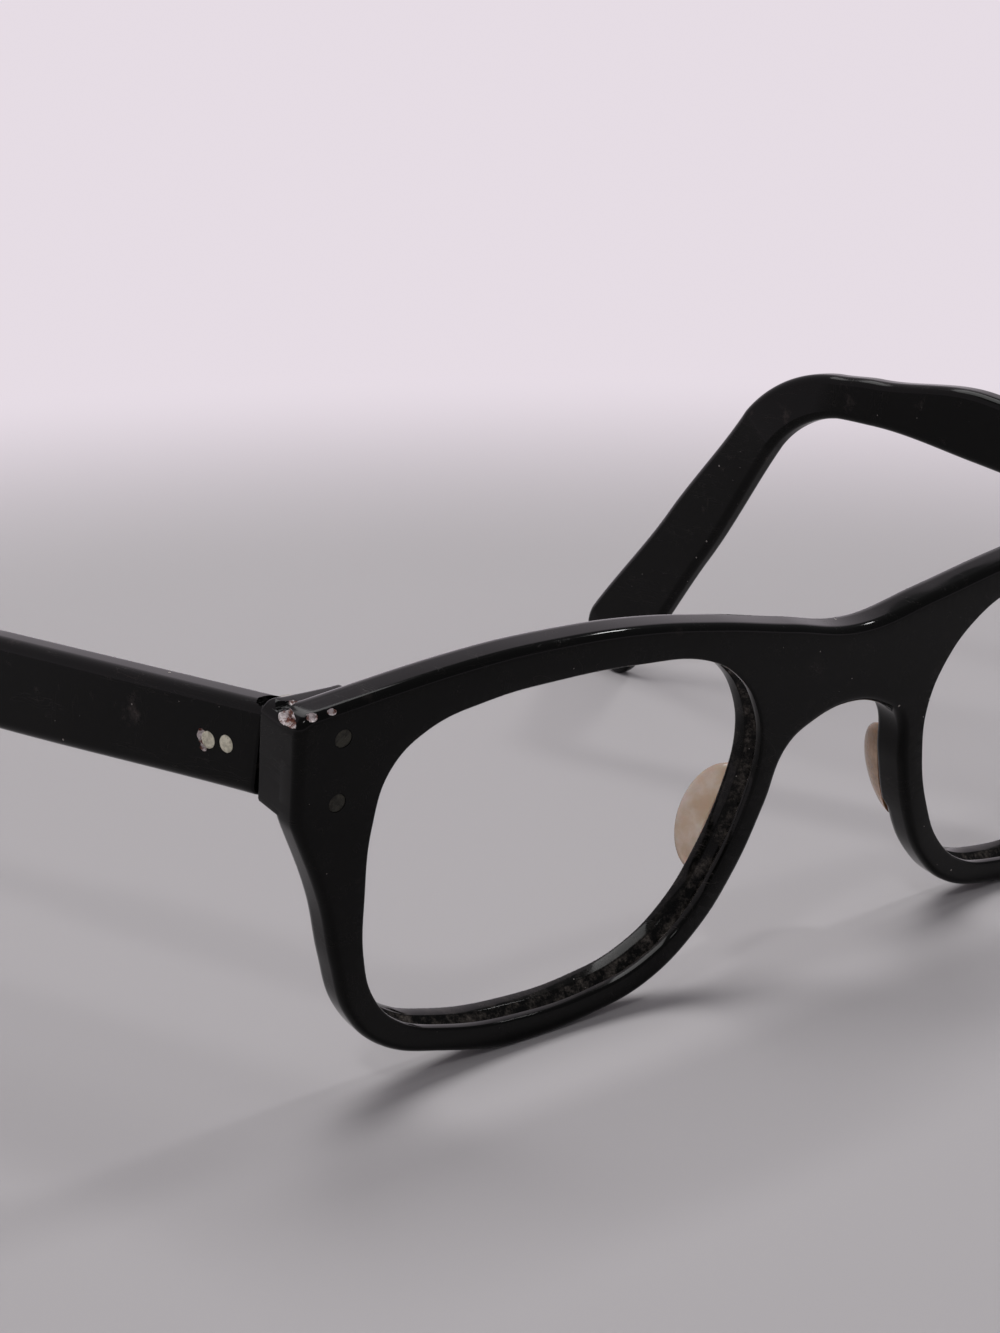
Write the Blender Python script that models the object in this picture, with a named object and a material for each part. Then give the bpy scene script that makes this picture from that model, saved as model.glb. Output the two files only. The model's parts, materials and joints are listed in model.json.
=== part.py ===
"""Broken spectacles in thick black acetate, standing open on a table.

The front has two empty lens openings with their lens groove, a chipped right
endpiece, and a hinge leaf let into the back of each end. Each temple turns on
a five-knuckle hinge and ends in a flat paddle that rests on the table. The left
one is warped: it arches upwards and bends inwards. Right and left are the
wearer's: right is -X. The front faces -Y. The origin is on
the table, under the middle of the pair's outer box.
"""
from math import cos, pi, radians, sin, tan
import random

import bmesh
import bpy
from mathutils import Matrix, Vector

MM = 0.001
GAP = 0.25 * MM
WELD = 0.01 * MM
SHARP_ANGLE = radians(35)

# Lens openings, measured in the plane of the front
LENS_WIDTH = 47.3 * MM
LENS_HEIGHT = 36.2 * MM
BRIDGE_WIDTH = 24.2 * MM
GROOVE_RADIUS = 0.75 * MM
GROOVE_SINK = 0.2 * MM
GROOVE_FROM_FACE = 1.7 * MM

# Points of one opening, from the nasal top round by the temple side: the
# share of its width and height, and the width of the rim outside that point
LENS_SHAPE = (
    (0.195, 0.957, 3.80 * MM),
    (0.387, 0.993, 3.75 * MM),
    (0.590, 1.000, 4.00 * MM),
    (0.760, 0.987, 4.35 * MM),
    (0.896, 0.943, None),
    (0.968, 0.863, None),
    (0.998, 0.714, None),
    (0.998, 0.520, 4.50 * MM),
    (0.985, 0.341, 3.20 * MM),
    (0.951, 0.211, 3.00 * MM),
    (0.882, 0.112, 2.90 * MM),
    (0.748, 0.040, 2.75 * MM),
    (0.548, 0.000, 3.20 * MM),
    (0.378, 0.006, 2.95 * MM),
    (0.241, 0.051, 3.00 * MM),
    (0.137, 0.153, 2.90 * MM),
    (0.066, 0.300, 3.00 * MM),
    (0.015, 0.480, 3.10 * MM),
    (0.000, 0.645, None),
    (0.030, 0.775, None),
    (0.093, 0.880, None),
)
LOWEST_INDEX = 12
PAD_INDEXES = (16, 17)

# Front sheet
FRONT_THICKNESS = 4.2 * MM
FRONT_LEAN = radians(12.5)
EDGE_RADIUS = 1.2 * MM
ENDPIECE_REACH = 8.8 * MM
ENDPIECE_BELOW_TOP = 2.1 * MM
ENDPIECE_HEIGHT = 10.6 * MM
ENDPIECE_CORNER = 1.0 * MM
ENDPIECE_DEPTH = 6.0 * MM
BLOCK_WIDTH = 8.0 * MM
BLOCK_BELOW_TOP = 0.6 * MM
BLOCK_INSET = 0.02 * MM
BLOCK_EDGE = 0.8 * MM
BRIDGE_DIP = 5.6 * MM
BRIDGE_HEIGHT = 8.8 * MM
SHOULDER_RISE = 1.7 * MM
SHOULDER_SHARE = 0.83
ARCH_CORNER = (0.60, 1.3 * MM)
ARCH_SIDE = (0.89, 3.2 * MM)

# Chip broken out of the right endpiece's top corner
CHIP_RADIUS = 2.7 * MM
CHIP_STAND_OFF = 1.75 * MM
CHIP_ROUGHNESS = 0.35 * MM
CHIP_SEED = 7

# Rivets
RIVET_RADIUS = 0.85 * MM
RIVET_INSET = 4.7 * MM
RIVET_BELOW_TOP = 2.7 * MM
RIVET_SPACING = 6.2 * MM
TEMPLE_RIVET_FROM_AXIS = 3.1 * MM
TEMPLE_RIVET_SPACING = 2.2 * MM
TEMPLE_RIVET_HEAD = 0.8 * MM

# Hinges
LEAF_THICKNESS = 0.8 * MM
LEAF_BITE = 0.4 * MM
FRONT_LEAF_WIDTH = 4.6 * MM
FRONT_LEAF_HEIGHT = 9.2 * MM
TEMPLE_LEAF_LENGTH = 8.4 * MM
TEMPLE_LEAF_HEIGHT = 5.0 * MM
BARREL_RADIUS = 1.15 * MM
BARREL_HEIGHT = 5.6 * MM
KNUCKLES = 5
KNUCKLE_GAP = 0.25 * MM
ARM_STEP = 0.06 * MM
ARM_WIDE = 0.90 * BARREL_RADIUS
ARM_NARROW = 0.65 * BARREL_RADIUS
SCREW_RADIUS = 0.5 * MM
SCREW_HEAD_RADIUS = 0.95 * MM
SCREW_HEAD_HEIGHT = 0.55 * MM
SCREW_SLOT_WIDTH = 0.3 * MM
SCREW_SLOT_DEPTH = 0.25 * MM

# Temples: length, height and thickness of the section along the side
TEMPLE_STRAIGHT = 57.0 * MM
BEND_RADIUS = 16.3 * MM
TEMPLE_DROP = 51.5 * MM
TIP_ROUNDING = 5.0 * MM
TEMPLE_INSET = 2.0 * MM
TEMPLE_CORNER = 0.7 * MM
TEMPLE_START = 4.0 * MM
TEMPLE_BELOW_TOP = 1.3 * MM
TOP_TAPER = 0.75
HEIGHTS_STRAIGHT = (
    (0.00, 8.75 * MM),
    (0.60, 9.2 * MM),
    (0.90, 6.2 * MM),
    (1.00, 5.8 * MM),
)
HEIGHTS_DROP = (
    (0.00, 7.2 * MM),
    (0.50, 9.6 * MM),
    (1.00, 11.8 * MM),
)
THICKNESS_HINGE = 3.5 * MM
THICKNESS_BEND = 3.2 * MM
THICKNESS_TIP = 2.6 * MM
TIP_TURN = radians(84)
TIP_BLUNTNESS = 0.6
TIP_THINNING = 0.35

# Rings along the straight, the bend, the drop and the round tip, and the
# steps round one corner of a ring
STRAIGHT_STEPS = 14
BEND_STEPS = 8
DROP_STEPS = 8
TIP_STEPS = 5
CORNER_STEPS = 2
CORNER_LIMIT = 0.3

# The drop's angle lies between these, and is halved down to the right one
LEAST_FALL = radians(15)
MOST_FALL = radians(85)
FALL_HALVINGS = 40

# The pair is out of true: the right temple is straight and stands wide, and
# the left one is warped, arched upwards (bow) and bent inwards (inward)
SIDES = {
    "right": {
        "sign": -1, "splay": radians(13.3), "rise": radians(1.5), "bow": 0.0, "inward": 0.0,
    },
    "left": {
        "sign": 1, "splay": radians(2.0), "rise": radians(15.5), "bow": radians(14.0),
        "inward": 5.8 * MM,
    },
}

# Nose pads
PAD_LENGTH = 12.0 * MM
PAD_DEPTH = 4.6 * MM
PAD_THICKNESS = 2.6 * MM
PAD_LEAN = radians(20.0)
PAD_FLARE = radians(14.0)
PAD_SIDES = 16
PAD_BANDS = 12

# Places that follow from the sizes above
NASAL_EDGE = BRIDGE_WIDTH / 2
TEMPORAL_EDGE = NASAL_EDGE + LENS_WIDTH
LENS_BOTTOM = LENS_SHAPE[LOWEST_INDEX][2]
FRONT_TOP = LENS_BOTTOM + LENS_HEIGHT + LENS_SHAPE[2][2]
HALF_SPAN = TEMPORAL_EDGE + ENDPIECE_REACH
ENDPIECE_TOP = FRONT_TOP - ENDPIECE_BELOW_TOP
BRIDGE_TOP = FRONT_TOP - BRIDGE_DIP
BRIDGE_UNDER = BRIDGE_TOP - BRIDGE_HEIGHT
NOSE_HALF = NASAL_EDGE - LENS_SHAPE[PAD_INDEXES[1]][2]
FACE = FRONT_THICKNESS / 2
BACK = -FRONT_THICKNESS / 2
END_BACK = FACE - ENDPIECE_DEPTH
FRONT_RAISE = (
    EDGE_RADIUS * (1 - cos(FRONT_LEAN))
    + (FRONT_THICKNESS / 2 - EDGE_RADIUS) * sin(FRONT_LEAN)
)
RIVET_X = HALF_SPAN - RIVET_INSET
LEAF_MIDDLE = ENDPIECE_TOP - RIVET_BELOW_TOP - RIVET_SPACING / 2


def front_frame():
    """Matrix from the front's own frame (across, up, out of the face) to world."""
    lean = Matrix.Rotation(pi / 2 + FRONT_LEAN, 4, "X")
    return Matrix.Translation((0, 0, FRONT_RAISE)) @ lean


def back_plane_y(height):
    """World y of the back of the endpieces at a world height."""
    foot = front_frame() @ Vector((0, 0, END_BACK))
    return foot.y - (height - foot.z) * tan(FRONT_LEAN)


TEMPLE_TOP = (front_frame() @ Vector((0, ENDPIECE_TOP - TEMPLE_BELOW_TOP, END_BACK))).z
HINGE_HEIGHT = TEMPLE_TOP - HEIGHTS_STRAIGHT[0][1] / 2
AXIS_TO_INNER = BARREL_RADIUS + GAP
AXIS_TO_OUTER = AXIS_TO_INNER + THICKNESS_HINGE
AXIS_X = HALF_SPAN - AXIS_TO_OUTER
AXIS_Y = back_plane_y(HINGE_HEIGHT - BARREL_HEIGHT / 2) + GAP + BARREL_RADIUS


def clear_scene():
    for item in list(bpy.data.objects):
        bpy.data.objects.remove(item, do_unlink=True)


def make_collection(name):
    group = bpy.data.collections.new(name)
    bpy.context.scene.collection.children.link(group)
    return group


def make_material(name, colour, roughness, metallic=0.0, coat=0.0):
    made = bpy.data.materials.new(name)
    made.use_nodes = True
    shader = made.node_tree.nodes["Principled BSDF"]
    shader.inputs["Base Color"].default_value = (*colour, 1.0)
    shader.inputs["Roughness"].default_value = roughness
    shader.inputs["Metallic"].default_value = metallic
    shader.inputs["Coat Weight"].default_value = coat
    made.diffuse_color = (*colour, 1.0)
    return made


def add_object(name, data, group, parent=None):
    made = bpy.data.objects.new(name, data)
    group.objects.link(made)
    made.parent = parent
    return made


def add_empty(name, group, parent=None, place=(0, 0, 0), turn=(0, 0, 0)):
    made = add_object(name, None, group, parent)
    made.location = place
    made.rotation_euler = turn
    return made


def finish_piece(piece, material, group):
    """Give a piece its material and move it among the parts."""
    piece.data.materials.clear()
    piece.data.materials.append(material)
    for old in list(piece.users_collection):
        old.objects.unlink(piece)
    group.objects.link(piece)
    piece.hide_render = False
    piece.display_type = "TEXTURED"
    piece.data.shade_smooth()
    piece.data.set_sharp_from_angle(angle=SHARP_ANGLE)
    return piece


class Workshop:
    """Makes raw shapes as guides; finish_piece turns a guide into a part."""

    def __init__(self, guides):
        self.guides = guides

    def add(self, name, mesh, parent=None, place=(0, 0, 0), turn=(0, 0, 0)):
        made = add_object(name, mesh, self.guides, parent)
        made.location = place
        made.rotation_euler = turn
        made.hide_render = True
        made.display_type = "WIRE"
        return made

    def from_bmesh(self, name, shape, **where):
        bmesh.ops.recalc_face_normals(shape, faces=shape.faces)
        mesh = bpy.data.meshes.new(name)
        shape.to_mesh(mesh)
        shape.free()
        return self.add(name, mesh, **where)

    def box(self, name, low, high, **where):
        shape = bmesh.new()
        bmesh.ops.create_cube(shape, size=1.0)
        low, high = Vector(low), Vector(high)
        for vert in shape.verts:
            share = vert.co + Vector((0.5, 0.5, 0.5))
            vert.co = low + Vector(s * d for s, d in zip(share, high - low))
        return self.from_bmesh(name, shape, **where)

    def cylinder(self, name, radius, low, high, sides=16, **where):
        """An upright cylinder between two heights."""
        shape = bmesh.new()
        bmesh.ops.create_cone(
            shape, cap_ends=True, segments=sides, radius1=radius, radius2=radius,
            depth=high - low, matrix=Matrix.Translation((0, 0, (low + high) / 2)),
        )
        return self.from_bmesh(name, shape, **where)

    def outline(self, name, splines, half_depth, edge=0.0, steps=3, **where):
        """A flat sheet from closed outlines; the first is the edge, the rest are holes."""
        curve = bpy.data.curves.new(name, "CURVE")
        curve.dimensions = "2D"
        curve.fill_mode = "BOTH"
        curve.resolution_u = steps
        curve.extrude = half_depth - edge
        curve.bevel_depth = edge
        curve.bevel_resolution = 1
        curve.offset = -edge
        for spline in splines:
            add_spline(curve, *spline)
        return self.from_curve(name, curve, **where)

    def ring(self, name, points, radius, steps=3, **where):
        """A closed rod of square section that follows an outline."""
        curve = bpy.data.curves.new(name, "CURVE")
        curve.dimensions = "3D"
        curve.resolution_u = steps
        curve.bevel_depth = radius
        curve.bevel_resolution = 0
        add_spline(curve, points)
        return self.from_curve(name, curve, **where)

    def from_curve(self, name, curve, **where):
        """Turn a curve into a welded mesh and remove the curve."""
        drawn = bpy.data.objects.new(name + "_curve", curve)
        bpy.context.scene.collection.objects.link(drawn)
        view = bpy.context.evaluated_depsgraph_get()
        mesh = bpy.data.meshes.new_from_object(drawn.evaluated_get(view))
        bpy.data.objects.remove(drawn, do_unlink=True)
        shape = bmesh.new()
        shape.from_mesh(mesh)
        bmesh.ops.remove_doubles(shape, verts=shape.verts, dist=WELD)
        bpy.data.meshes.remove(mesh)
        return self.from_bmesh(name, shape, **where)

    def loft(self, name, rings, **where):
        """A closed skin over rings that have the same number of points."""
        shape = bmesh.new()
        loops = [[shape.verts.new(point) for point in ring] for ring in rings]
        for near, far in zip(loops, loops[1:]):
            for index in range(len(near)):
                after = (index + 1) % len(near)
                shape.faces.new((near[index], near[after], far[after], far[index]))
        shape.faces.new(reversed(loops[0]))
        shape.faces.new(loops[-1])
        return self.from_bmesh(name, shape, **where)


def add_spline(curve, points, corners=(), level=()):
    """A closed Bezier outline; points named by index are sharp, or run level."""
    spline = curve.splines.new("BEZIER")
    spline.bezier_points.add(len(points) - 1)
    for index, (knot, point) in enumerate(zip(spline.bezier_points, points)):
        knot.co = (point[0], point[1], 0.0)
        kind = "VECTOR" if index in corners else "AUTO"
        knot.handle_left_type = kind
        knot.handle_right_type = kind
        if index in level:
            before = points[index - 1][0] - point[0]
            after = points[(index + 1) % len(points)][0] - point[0]
            knot.handle_left_type = "FREE"
            knot.handle_right_type = "FREE"
            knot.handle_left = knot.co + Vector((before / 3, 0, 0))
            knot.handle_right = knot.co + Vector((after / 3, 0, 0))
    spline.use_cyclic_u = True


def cut(piece, tool):
    change = piece.modifiers.new(tool.name, "BOOLEAN")
    change.object = tool
    change.operation = "DIFFERENCE"


def join(piece, tool):
    change = piece.modifiers.new(tool.name, "BOOLEAN")
    change.object = tool
    change.operation = "UNION"


def mirrored(points):
    return [(-x, y) for x, y in points]


def lens_point(index):
    across, up, _ = LENS_SHAPE[index]
    return Vector((NASAL_EDGE + across * LENS_WIDTH, LENS_BOTTOM + up * LENS_HEIGHT))


def outside_lens(index, distance):
    """The point that lies square off the opening's edge at one of its points."""
    count = len(LENS_SHAPE)
    along = lens_point((index + 1) % count) - lens_point(index - 1)
    outward = Vector((-along.y, along.x)).normalized()
    return lens_point(index) + outward * distance


def rim_point(index):
    return outside_lens(index, LENS_SHAPE[index][2])


def opening_points(distance=0.0):
    return [tuple(outside_lens(index, distance)) for index in range(len(LENS_SHAPE))]


def front_outline():
    """The front's edge, once round, with its sharp corners and its lowest points."""
    rims = [index for index, point in enumerate(LENS_SHAPE) if point[2]]
    over = [tuple(rim_point(index)) for index in rims if index < LOWEST_INDEX // 2]
    under = [tuple(rim_point(index)) for index in rims if index > LOWEST_INDEX // 2]
    shoulder = (SHOULDER_SHARE * NASAL_EDGE, BRIDGE_TOP + SHOULDER_RISE)
    endpiece = [
        (HALF_SPAN - ENDPIECE_CORNER, ENDPIECE_TOP),
        (HALF_SPAN, ENDPIECE_TOP - ENDPIECE_CORNER),
        (HALF_SPAN - ENDPIECE_CORNER / 2, ENDPIECE_TOP - ENDPIECE_HEIGHT),
    ]
    arch = [
        (ARCH_SIDE[0] * NOSE_HALF, BRIDGE_UNDER - ARCH_SIDE[1]),
        (ARCH_CORNER[0] * NOSE_HALF, BRIDGE_UNDER - ARCH_CORNER[1]),
    ]
    half = [shoulder] + over + endpiece + under + arch
    whole = [(0.0, BRIDGE_TOP)] + half + [(0.0, BRIDGE_UNDER)] + mirrored(half[::-1])
    first = 1 + 1 + len(over)
    foot = first + len(endpiece) + rims.index(LOWEST_INDEX) - len(over)
    corners = [index for step in range(3) for index in both_sides(whole, first + step)]
    return whole, corners, both_sides(whole, foot)


def both_sides(outline, index):
    """The index of a point and of its mirror image."""
    return [index, len(outline) - index]


def rough_ball(work, name, radius, roughness, **where):
    """A ball with a broken, faceted skin, for cutting a fracture."""
    shape = bmesh.new()
    bmesh.ops.create_icosphere(shape, subdivisions=2, radius=radius)
    dice = random.Random(CHIP_SEED)
    for vert in shape.verts:
        vert.co *= 1 + dice.uniform(-roughness, roughness) / radius
    return work.from_bmesh(name, shape, **where)


def make_front(work, frame):
    front = work.outline("front", [front_outline()], FACE, EDGE_RADIUS, parent=frame)
    for side, tune in SIDES.items():
        join(front, make_end_block(work, side, tune["sign"], frame))
        opening, groove = opening_points(), opening_points(GROOVE_SINK)
        if tune["sign"] < 0:
            opening, groove = mirrored(opening), mirrored(groove)
        cut(front, work.outline(
            "lens_opening_" + side, [(opening,)], FRONT_THICKNESS, parent=frame
        ))
        cut(front, work.ring(
            "lens_groove_" + side, groove, GROOVE_RADIUS, parent=frame,
            place=(0, 0, FACE - GROOVE_FROM_FACE),
        ))
        x = tune["sign"] * RIVET_X
        wide = FRONT_LEAF_WIDTH / 2 + GAP
        tall = FRONT_LEAF_HEIGHT / 2 + GAP
        deep = END_BACK + LEAF_THICKNESS + GAP
        cut(front, work.box(
            "leaf_pocket_" + side, (x - wide, LEAF_MIDDLE - tall, END_BACK - LEAF_THICKNESS),
            (x + wide, LEAF_MIDDLE + tall, deep), parent=frame,
        ))
        for place in rivet_places(tune["sign"]):
            cut(front, work.cylinder(
                "rivet_hole_" + side, RIVET_RADIUS + GAP, END_BACK, 2 * FACE,
                parent=frame, place=place,
            ))
    chip = (
        -(HALF_SPAN + CHIP_STAND_OFF * sin(pi / 4)),
        ENDPIECE_TOP + CHIP_STAND_OFF * cos(pi / 4), 0,
    )
    cut(front, rough_ball(
        work, "endpiece_chip", CHIP_RADIUS, CHIP_ROUGHNESS, parent=frame, place=chip
    ))
    return front


def make_end_block(work, side, sign, frame):
    """The thickening behind an endpiece, whose outer side runs flush with it."""
    top = ENDPIECE_TOP - BLOCK_BELOW_TOP
    bottom = ENDPIECE_TOP - ENDPIECE_HEIGHT + BLOCK_INSET
    outer = HALF_SPAN - BLOCK_INSET
    inner = HALF_SPAN - BLOCK_WIDTH
    plan = [(outer, top), (outer - ENDPIECE_CORNER / 2, bottom), (inner, bottom), (inner, top)]
    plan = plan if sign > 0 else mirrored(plan)
    depth = -END_BACK / 2
    return work.outline(
        "end_block_" + side, [(plan, range(len(plan)))], depth, BLOCK_EDGE,
        parent=frame, place=(0, 0, END_BACK / 2), steps=1,
    )


def rivet_places(sign):
    """The two rivets of one endpiece, upper first, in the front's frame."""
    top = ENDPIECE_TOP - RIVET_BELOW_TOP
    return [(sign * RIVET_X, top - step * RIVET_SPACING, 0) for step in (0, 1)]


def knuckle_span(index):
    """Lowest and highest point of one knuckle, measured from the hinge's middle."""
    tall = (BARREL_HEIGHT - (KNUCKLES - 1) * KNUCKLE_GAP) / KNUCKLES
    low = -BARREL_HEIGHT / 2 + index * (tall + KNUCKLE_GAP)
    return low, low + tall


def add_knuckles(work, leaf, name, axis, indexes, plan_at):
    """Join knuckles and their arms to a leaf, then bore them for the screw."""
    for index in indexes:
        low, high = knuckle_span(index)
        label = f"{name}_{index}"
        plan = plan_at(low, high)
        middle = (0, 0, (low + high) / 2)
        corners = tuple(range(len(plan)))
        arm = work.outline(
            label + "_arm", [(plan, corners)], (high - low) / 2 - ARM_STEP,
            parent=axis, place=middle, steps=1,
        )
        join(leaf, arm)
        join(leaf, work.cylinder(label + "_knuckle", BARREL_RADIUS, low, high, parent=axis))
    cut(leaf, work.cylinder(
        name + "_bore", SCREW_RADIUS + GAP, -BARREL_HEIGHT, BARREL_HEIGHT, parent=axis, sides=12
    ))


def make_front_leaf(work, side, sign, frame, pivot):
    x = sign * RIVET_X
    wide = FRONT_LEAF_WIDTH / 2
    tall = FRONT_LEAF_HEIGHT / 2
    leaf = work.box(
        "front_hinge_" + side, (x - wide, LEAF_MIDDLE - tall, END_BACK),
        (x + wide, LEAF_MIDDLE + tall, END_BACK + LEAF_THICKNESS), parent=frame,
    )

    def plan_at(low, high):
        """The arm reaches from the knuckle to the leaf, which leans away."""
        back = back_plane_y(HINGE_HEIGHT + (low + high) / 2) - AXIS_Y
        end = back - LEAF_BITE
        plan = [(-ARM_WIDE, 0), (ARM_NARROW, 0), (ARM_NARROW, end), (-ARM_WIDE, end)]
        return [(sign * across, along) for across, along in plan]

    name = leaf.name
    add_knuckles(work, leaf, name, pivot, range(0, KNUCKLES, 2), plan_at)
    for place in rivet_places(sign):
        cut(leaf, work.cylinder(
            name + "_hole", RIVET_RADIUS + GAP, END_BACK - LEAF_THICKNESS,
            END_BACK + 2 * LEAF_THICKNESS, parent=frame, place=place,
        ))
    return leaf


def make_temple_leaf(work, side, sign, axis):
    inner, outer = AXIS_TO_INNER, AXIS_TO_INNER + LEAF_THICKNESS
    tall = TEMPLE_LEAF_HEIGHT / 2
    start = BARREL_RADIUS - GAP
    low = (min(sign * inner, sign * outer), start, -tall)
    high = (max(sign * inner, sign * outer), start + TEMPLE_LEAF_LENGTH, tall)
    leaf = work.box("temple_hinge_" + side, low, high, parent=axis)

    def plan_at(low, high):
        """The arm leaves the knuckle backwards and turns out to the leaf."""
        back = 2 * BARREL_RADIUS
        plan = [
            (-ARM_WIDE, 0), (ARM_WIDE, 0), (ARM_WIDE, start),
            (inner + LEAF_BITE, start), (inner + LEAF_BITE, back), (0, back),
        ]
        return [(sign * across, along) for across, along in plan]

    name = leaf.name
    add_knuckles(work, leaf, name, axis, range(1, KNUCKLES, 2), plan_at)
    for place in temple_rivet_places():
        cut(leaf, temple_drill(work, name + "_hole", sign, place, axis))
    return leaf


def temple_rivet_places():
    """Distance behind the hinge axis of the two temple rivets, front first."""
    return [TEMPLE_RIVET_FROM_AXIS + step * TEMPLE_RIVET_SPACING for step in (0, 1)]


def temple_drill(work, name, sign, along, axis):
    """A cutter across the temple at a rivet."""
    return work.cylinder(
        name, TEMPLE_RIVET_HEAD + GAP, 0, 2 * AXIS_TO_OUTER, parent=axis,
        place=(0, along, 0), turn=(0, sign * pi / 2, 0),
    )


def ease(table, share):
    """A smooth value between the entries of a table of (share, value)."""
    for (left, low), (right, high) in zip(table, table[1:]):
        if share <= right:
            part = max(0.0, (share - left) / (right - left))
            return low + (high - low) * part * part * (3 - 2 * part)
    return table[-1][1]


def direction(angle):
    """Unit vector along the temple (back, up) at an angle above level."""
    return Vector((cos(angle), sin(angle)))


def temple_stations(tune, fall):
    """Middle point, direction, height, thickness and inset along one temple."""
    stations = []
    narrow = HEIGHTS_STRAIGHT[-1][1]
    widest, tallest = HEIGHTS_STRAIGHT[1]
    step_length = (TEMPLE_STRAIGHT + TEMPLE_START) / STRAIGHT_STEPS
    start = Vector((0, TEMPLE_TOP - HINGE_HEIGHT))
    guide = start - direction(tune["rise"] + pi / 2) * narrow / 2
    guide -= direction(tune["rise"]) * TEMPLE_START
    for step in range(STRAIGHT_STEPS + 1):
        share = max(0.0, (step * step_length - TEMPLE_START) / TEMPLE_STRAIGHT)
        angle = tune["rise"] - tune["bow"] * share ** 2
        height = ease(HEIGHTS_STRAIGHT, share)
        taper = TOP_TAPER * (tallest - height) if share > widest else 0.0
        thick = THICKNESS_HINGE + (THICKNESS_BEND - THICKNESS_HINGE) * share
        over = direction(angle + pi / 2)
        middle = guide + over * ((narrow - height) / 2 - taper)
        inset = tune["inward"] * share ** 2
        stations.append((middle, direction(angle), height, thick, inset))
        guide = guide + direction(angle) * step_length
    centre = middle - over * BEND_RADIUS
    slant = 2 * tune["inward"] / TEMPLE_STRAIGHT
    for step in range(1, BEND_STEPS + 1):
        share = step / BEND_STEPS
        heading = direction(angle - (angle + fall) * share)
        out = Vector((-heading.y, heading.x))
        height = narrow + (HEIGHTS_DROP[0][1] - narrow) * share
        place = centre + out * BEND_RADIUS
        inset = tune["inward"] + slant * (place.x - middle.x)
        stations.append((place, heading, height, THICKNESS_BEND, inset))
    start, turned = place, inset
    body = TEMPLE_DROP - TIP_ROUNDING
    for step in range(1, DROP_STEPS + 1):
        share = step / DROP_STEPS
        place = start + heading * body * share
        thick = THICKNESS_BEND + (THICKNESS_TIP - THICKNESS_BEND) * share
        inset = turned + TEMPLE_INSET * share ** 2
        stations.append((place, heading, ease(HEIGHTS_DROP, share), thick, inset))
    for step in range(1, TIP_STEPS + 1):
        share = step / TIP_STEPS
        turn = share * TIP_TURN
        place = start + heading * (body + TIP_ROUNDING * sin(turn))
        height = HEIGHTS_DROP[-1][1] * cos(turn) ** TIP_BLUNTNESS
        thick = THICKNESS_TIP * (1 - TIP_THINNING * share ** 2)
        stations.append((place, heading, height, thick, inset))
    return stations


def rounded_section(height, thick, corner):
    """Points round a rectangle with eased corners, as (across, up) pairs."""
    corner = min(corner, height * CORNER_LIMIT, thick * CORNER_LIMIT)
    points = []
    for quarter, (right, top) in enumerate(((1, 1), (-1, 1), (-1, -1), (1, -1))):
        middle = (right * (thick / 2 - corner), top * (height / 2 - corner))
        for step in range(CORNER_STEPS + 1):
            turn = (quarter + step / CORNER_STEPS) * pi / 2
            points.append((middle[0] + corner * cos(turn), middle[1] + corner * sin(turn)))
    return points


def temple_rings(tune, fall):
    rings = []
    sign = tune["sign"]
    for middle, heading, height, thick, inset in temple_stations(tune, fall):
        up = Vector((-heading.y, heading.x))
        across = AXIS_TO_OUTER - thick / 2 - inset
        ring = []
        for side, over in rounded_section(height, thick, TEMPLE_CORNER):
            place = middle + up * over
            ring.append((sign * (across + side), place.x, place.y))
        rings.append(ring[::sign])
    return rings


def lowest(rings):
    return min(point[2] for ring in rings for point in ring)


def fall_to_table(tune):
    """The angle of the ear piece that sets the tip on the table."""
    shallow, steep = LEAST_FALL, MOST_FALL
    for _ in range(FALL_HALVINGS):
        fall = (shallow + steep) / 2
        if lowest(temple_rings(tune, fall)) > -HINGE_HEIGHT:
            shallow = fall
        else:
            steep = fall
    return shallow


def make_temple(work, side, tune, axis, frame):
    sign = tune["sign"]
    rings = temple_rings(tune, fall_to_table(tune))
    temple = work.loft("temple_" + side, rings, parent=axis)
    reach = 3 * FRONT_THICKNESS
    cut(temple, work.box(
        "temple_end_" + side, (-2 * HALF_SPAN, 0, END_BACK - GAP),
        (2 * HALF_SPAN, 2 * FRONT_TOP, reach), parent=frame,
    ))
    tall = TEMPLE_LEAF_HEIGHT / 2 + GAP
    start = BARREL_RADIUS - 2 * GAP
    shallow, deep = sign * GAP, sign * (AXIS_TO_INNER + LEAF_THICKNESS + GAP)
    cut(temple, work.box(
        "temple_pocket_" + side, (min(shallow, deep), start, -tall),
        (max(shallow, deep), start + TEMPLE_LEAF_LENGTH + 2 * GAP, tall), parent=axis,
    ))
    for along in temple_rivet_places():
        cut(temple, temple_drill(work, "temple_drill_" + side, sign, along, axis))
    return temple


def make_screw(work, side, axis):
    """The hinge screw, with a slotted head that stands on the top knuckle."""
    top = BARREL_HEIGHT / 2 + GAP
    screw = work.cylinder(
        "hinge_screw_" + side, SCREW_RADIUS, -BARREL_HEIGHT / 2, top + GAP, parent=axis, sides=12
    )
    join(screw, work.cylinder(
        "screw_head_" + side, SCREW_HEAD_RADIUS, top, top + SCREW_HEAD_HEIGHT, parent=axis
    ))
    half = SCREW_SLOT_WIDTH / 2
    floor = top + SCREW_HEAD_HEIGHT - SCREW_SLOT_DEPTH
    reach = 2 * SCREW_HEAD_RADIUS
    cut(screw, work.box(
        "screw_slot_" + side, (-reach, -half, floor), (reach, half, floor + reach), parent=axis
    ))
    return screw


def make_front_rivets(work, side, sign, frame):
    """Pins flush with the face that end inside the hinge leaf."""
    end = END_BACK + LEAF_THICKNESS - LEAF_BITE
    return [
        work.cylinder(
            f"front_rivet_{side}_{level}", RIVET_RADIUS, end, FACE, parent=frame, place=place
        )
        for level, place in zip(("upper", "lower"), rivet_places(sign))
    ]


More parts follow.
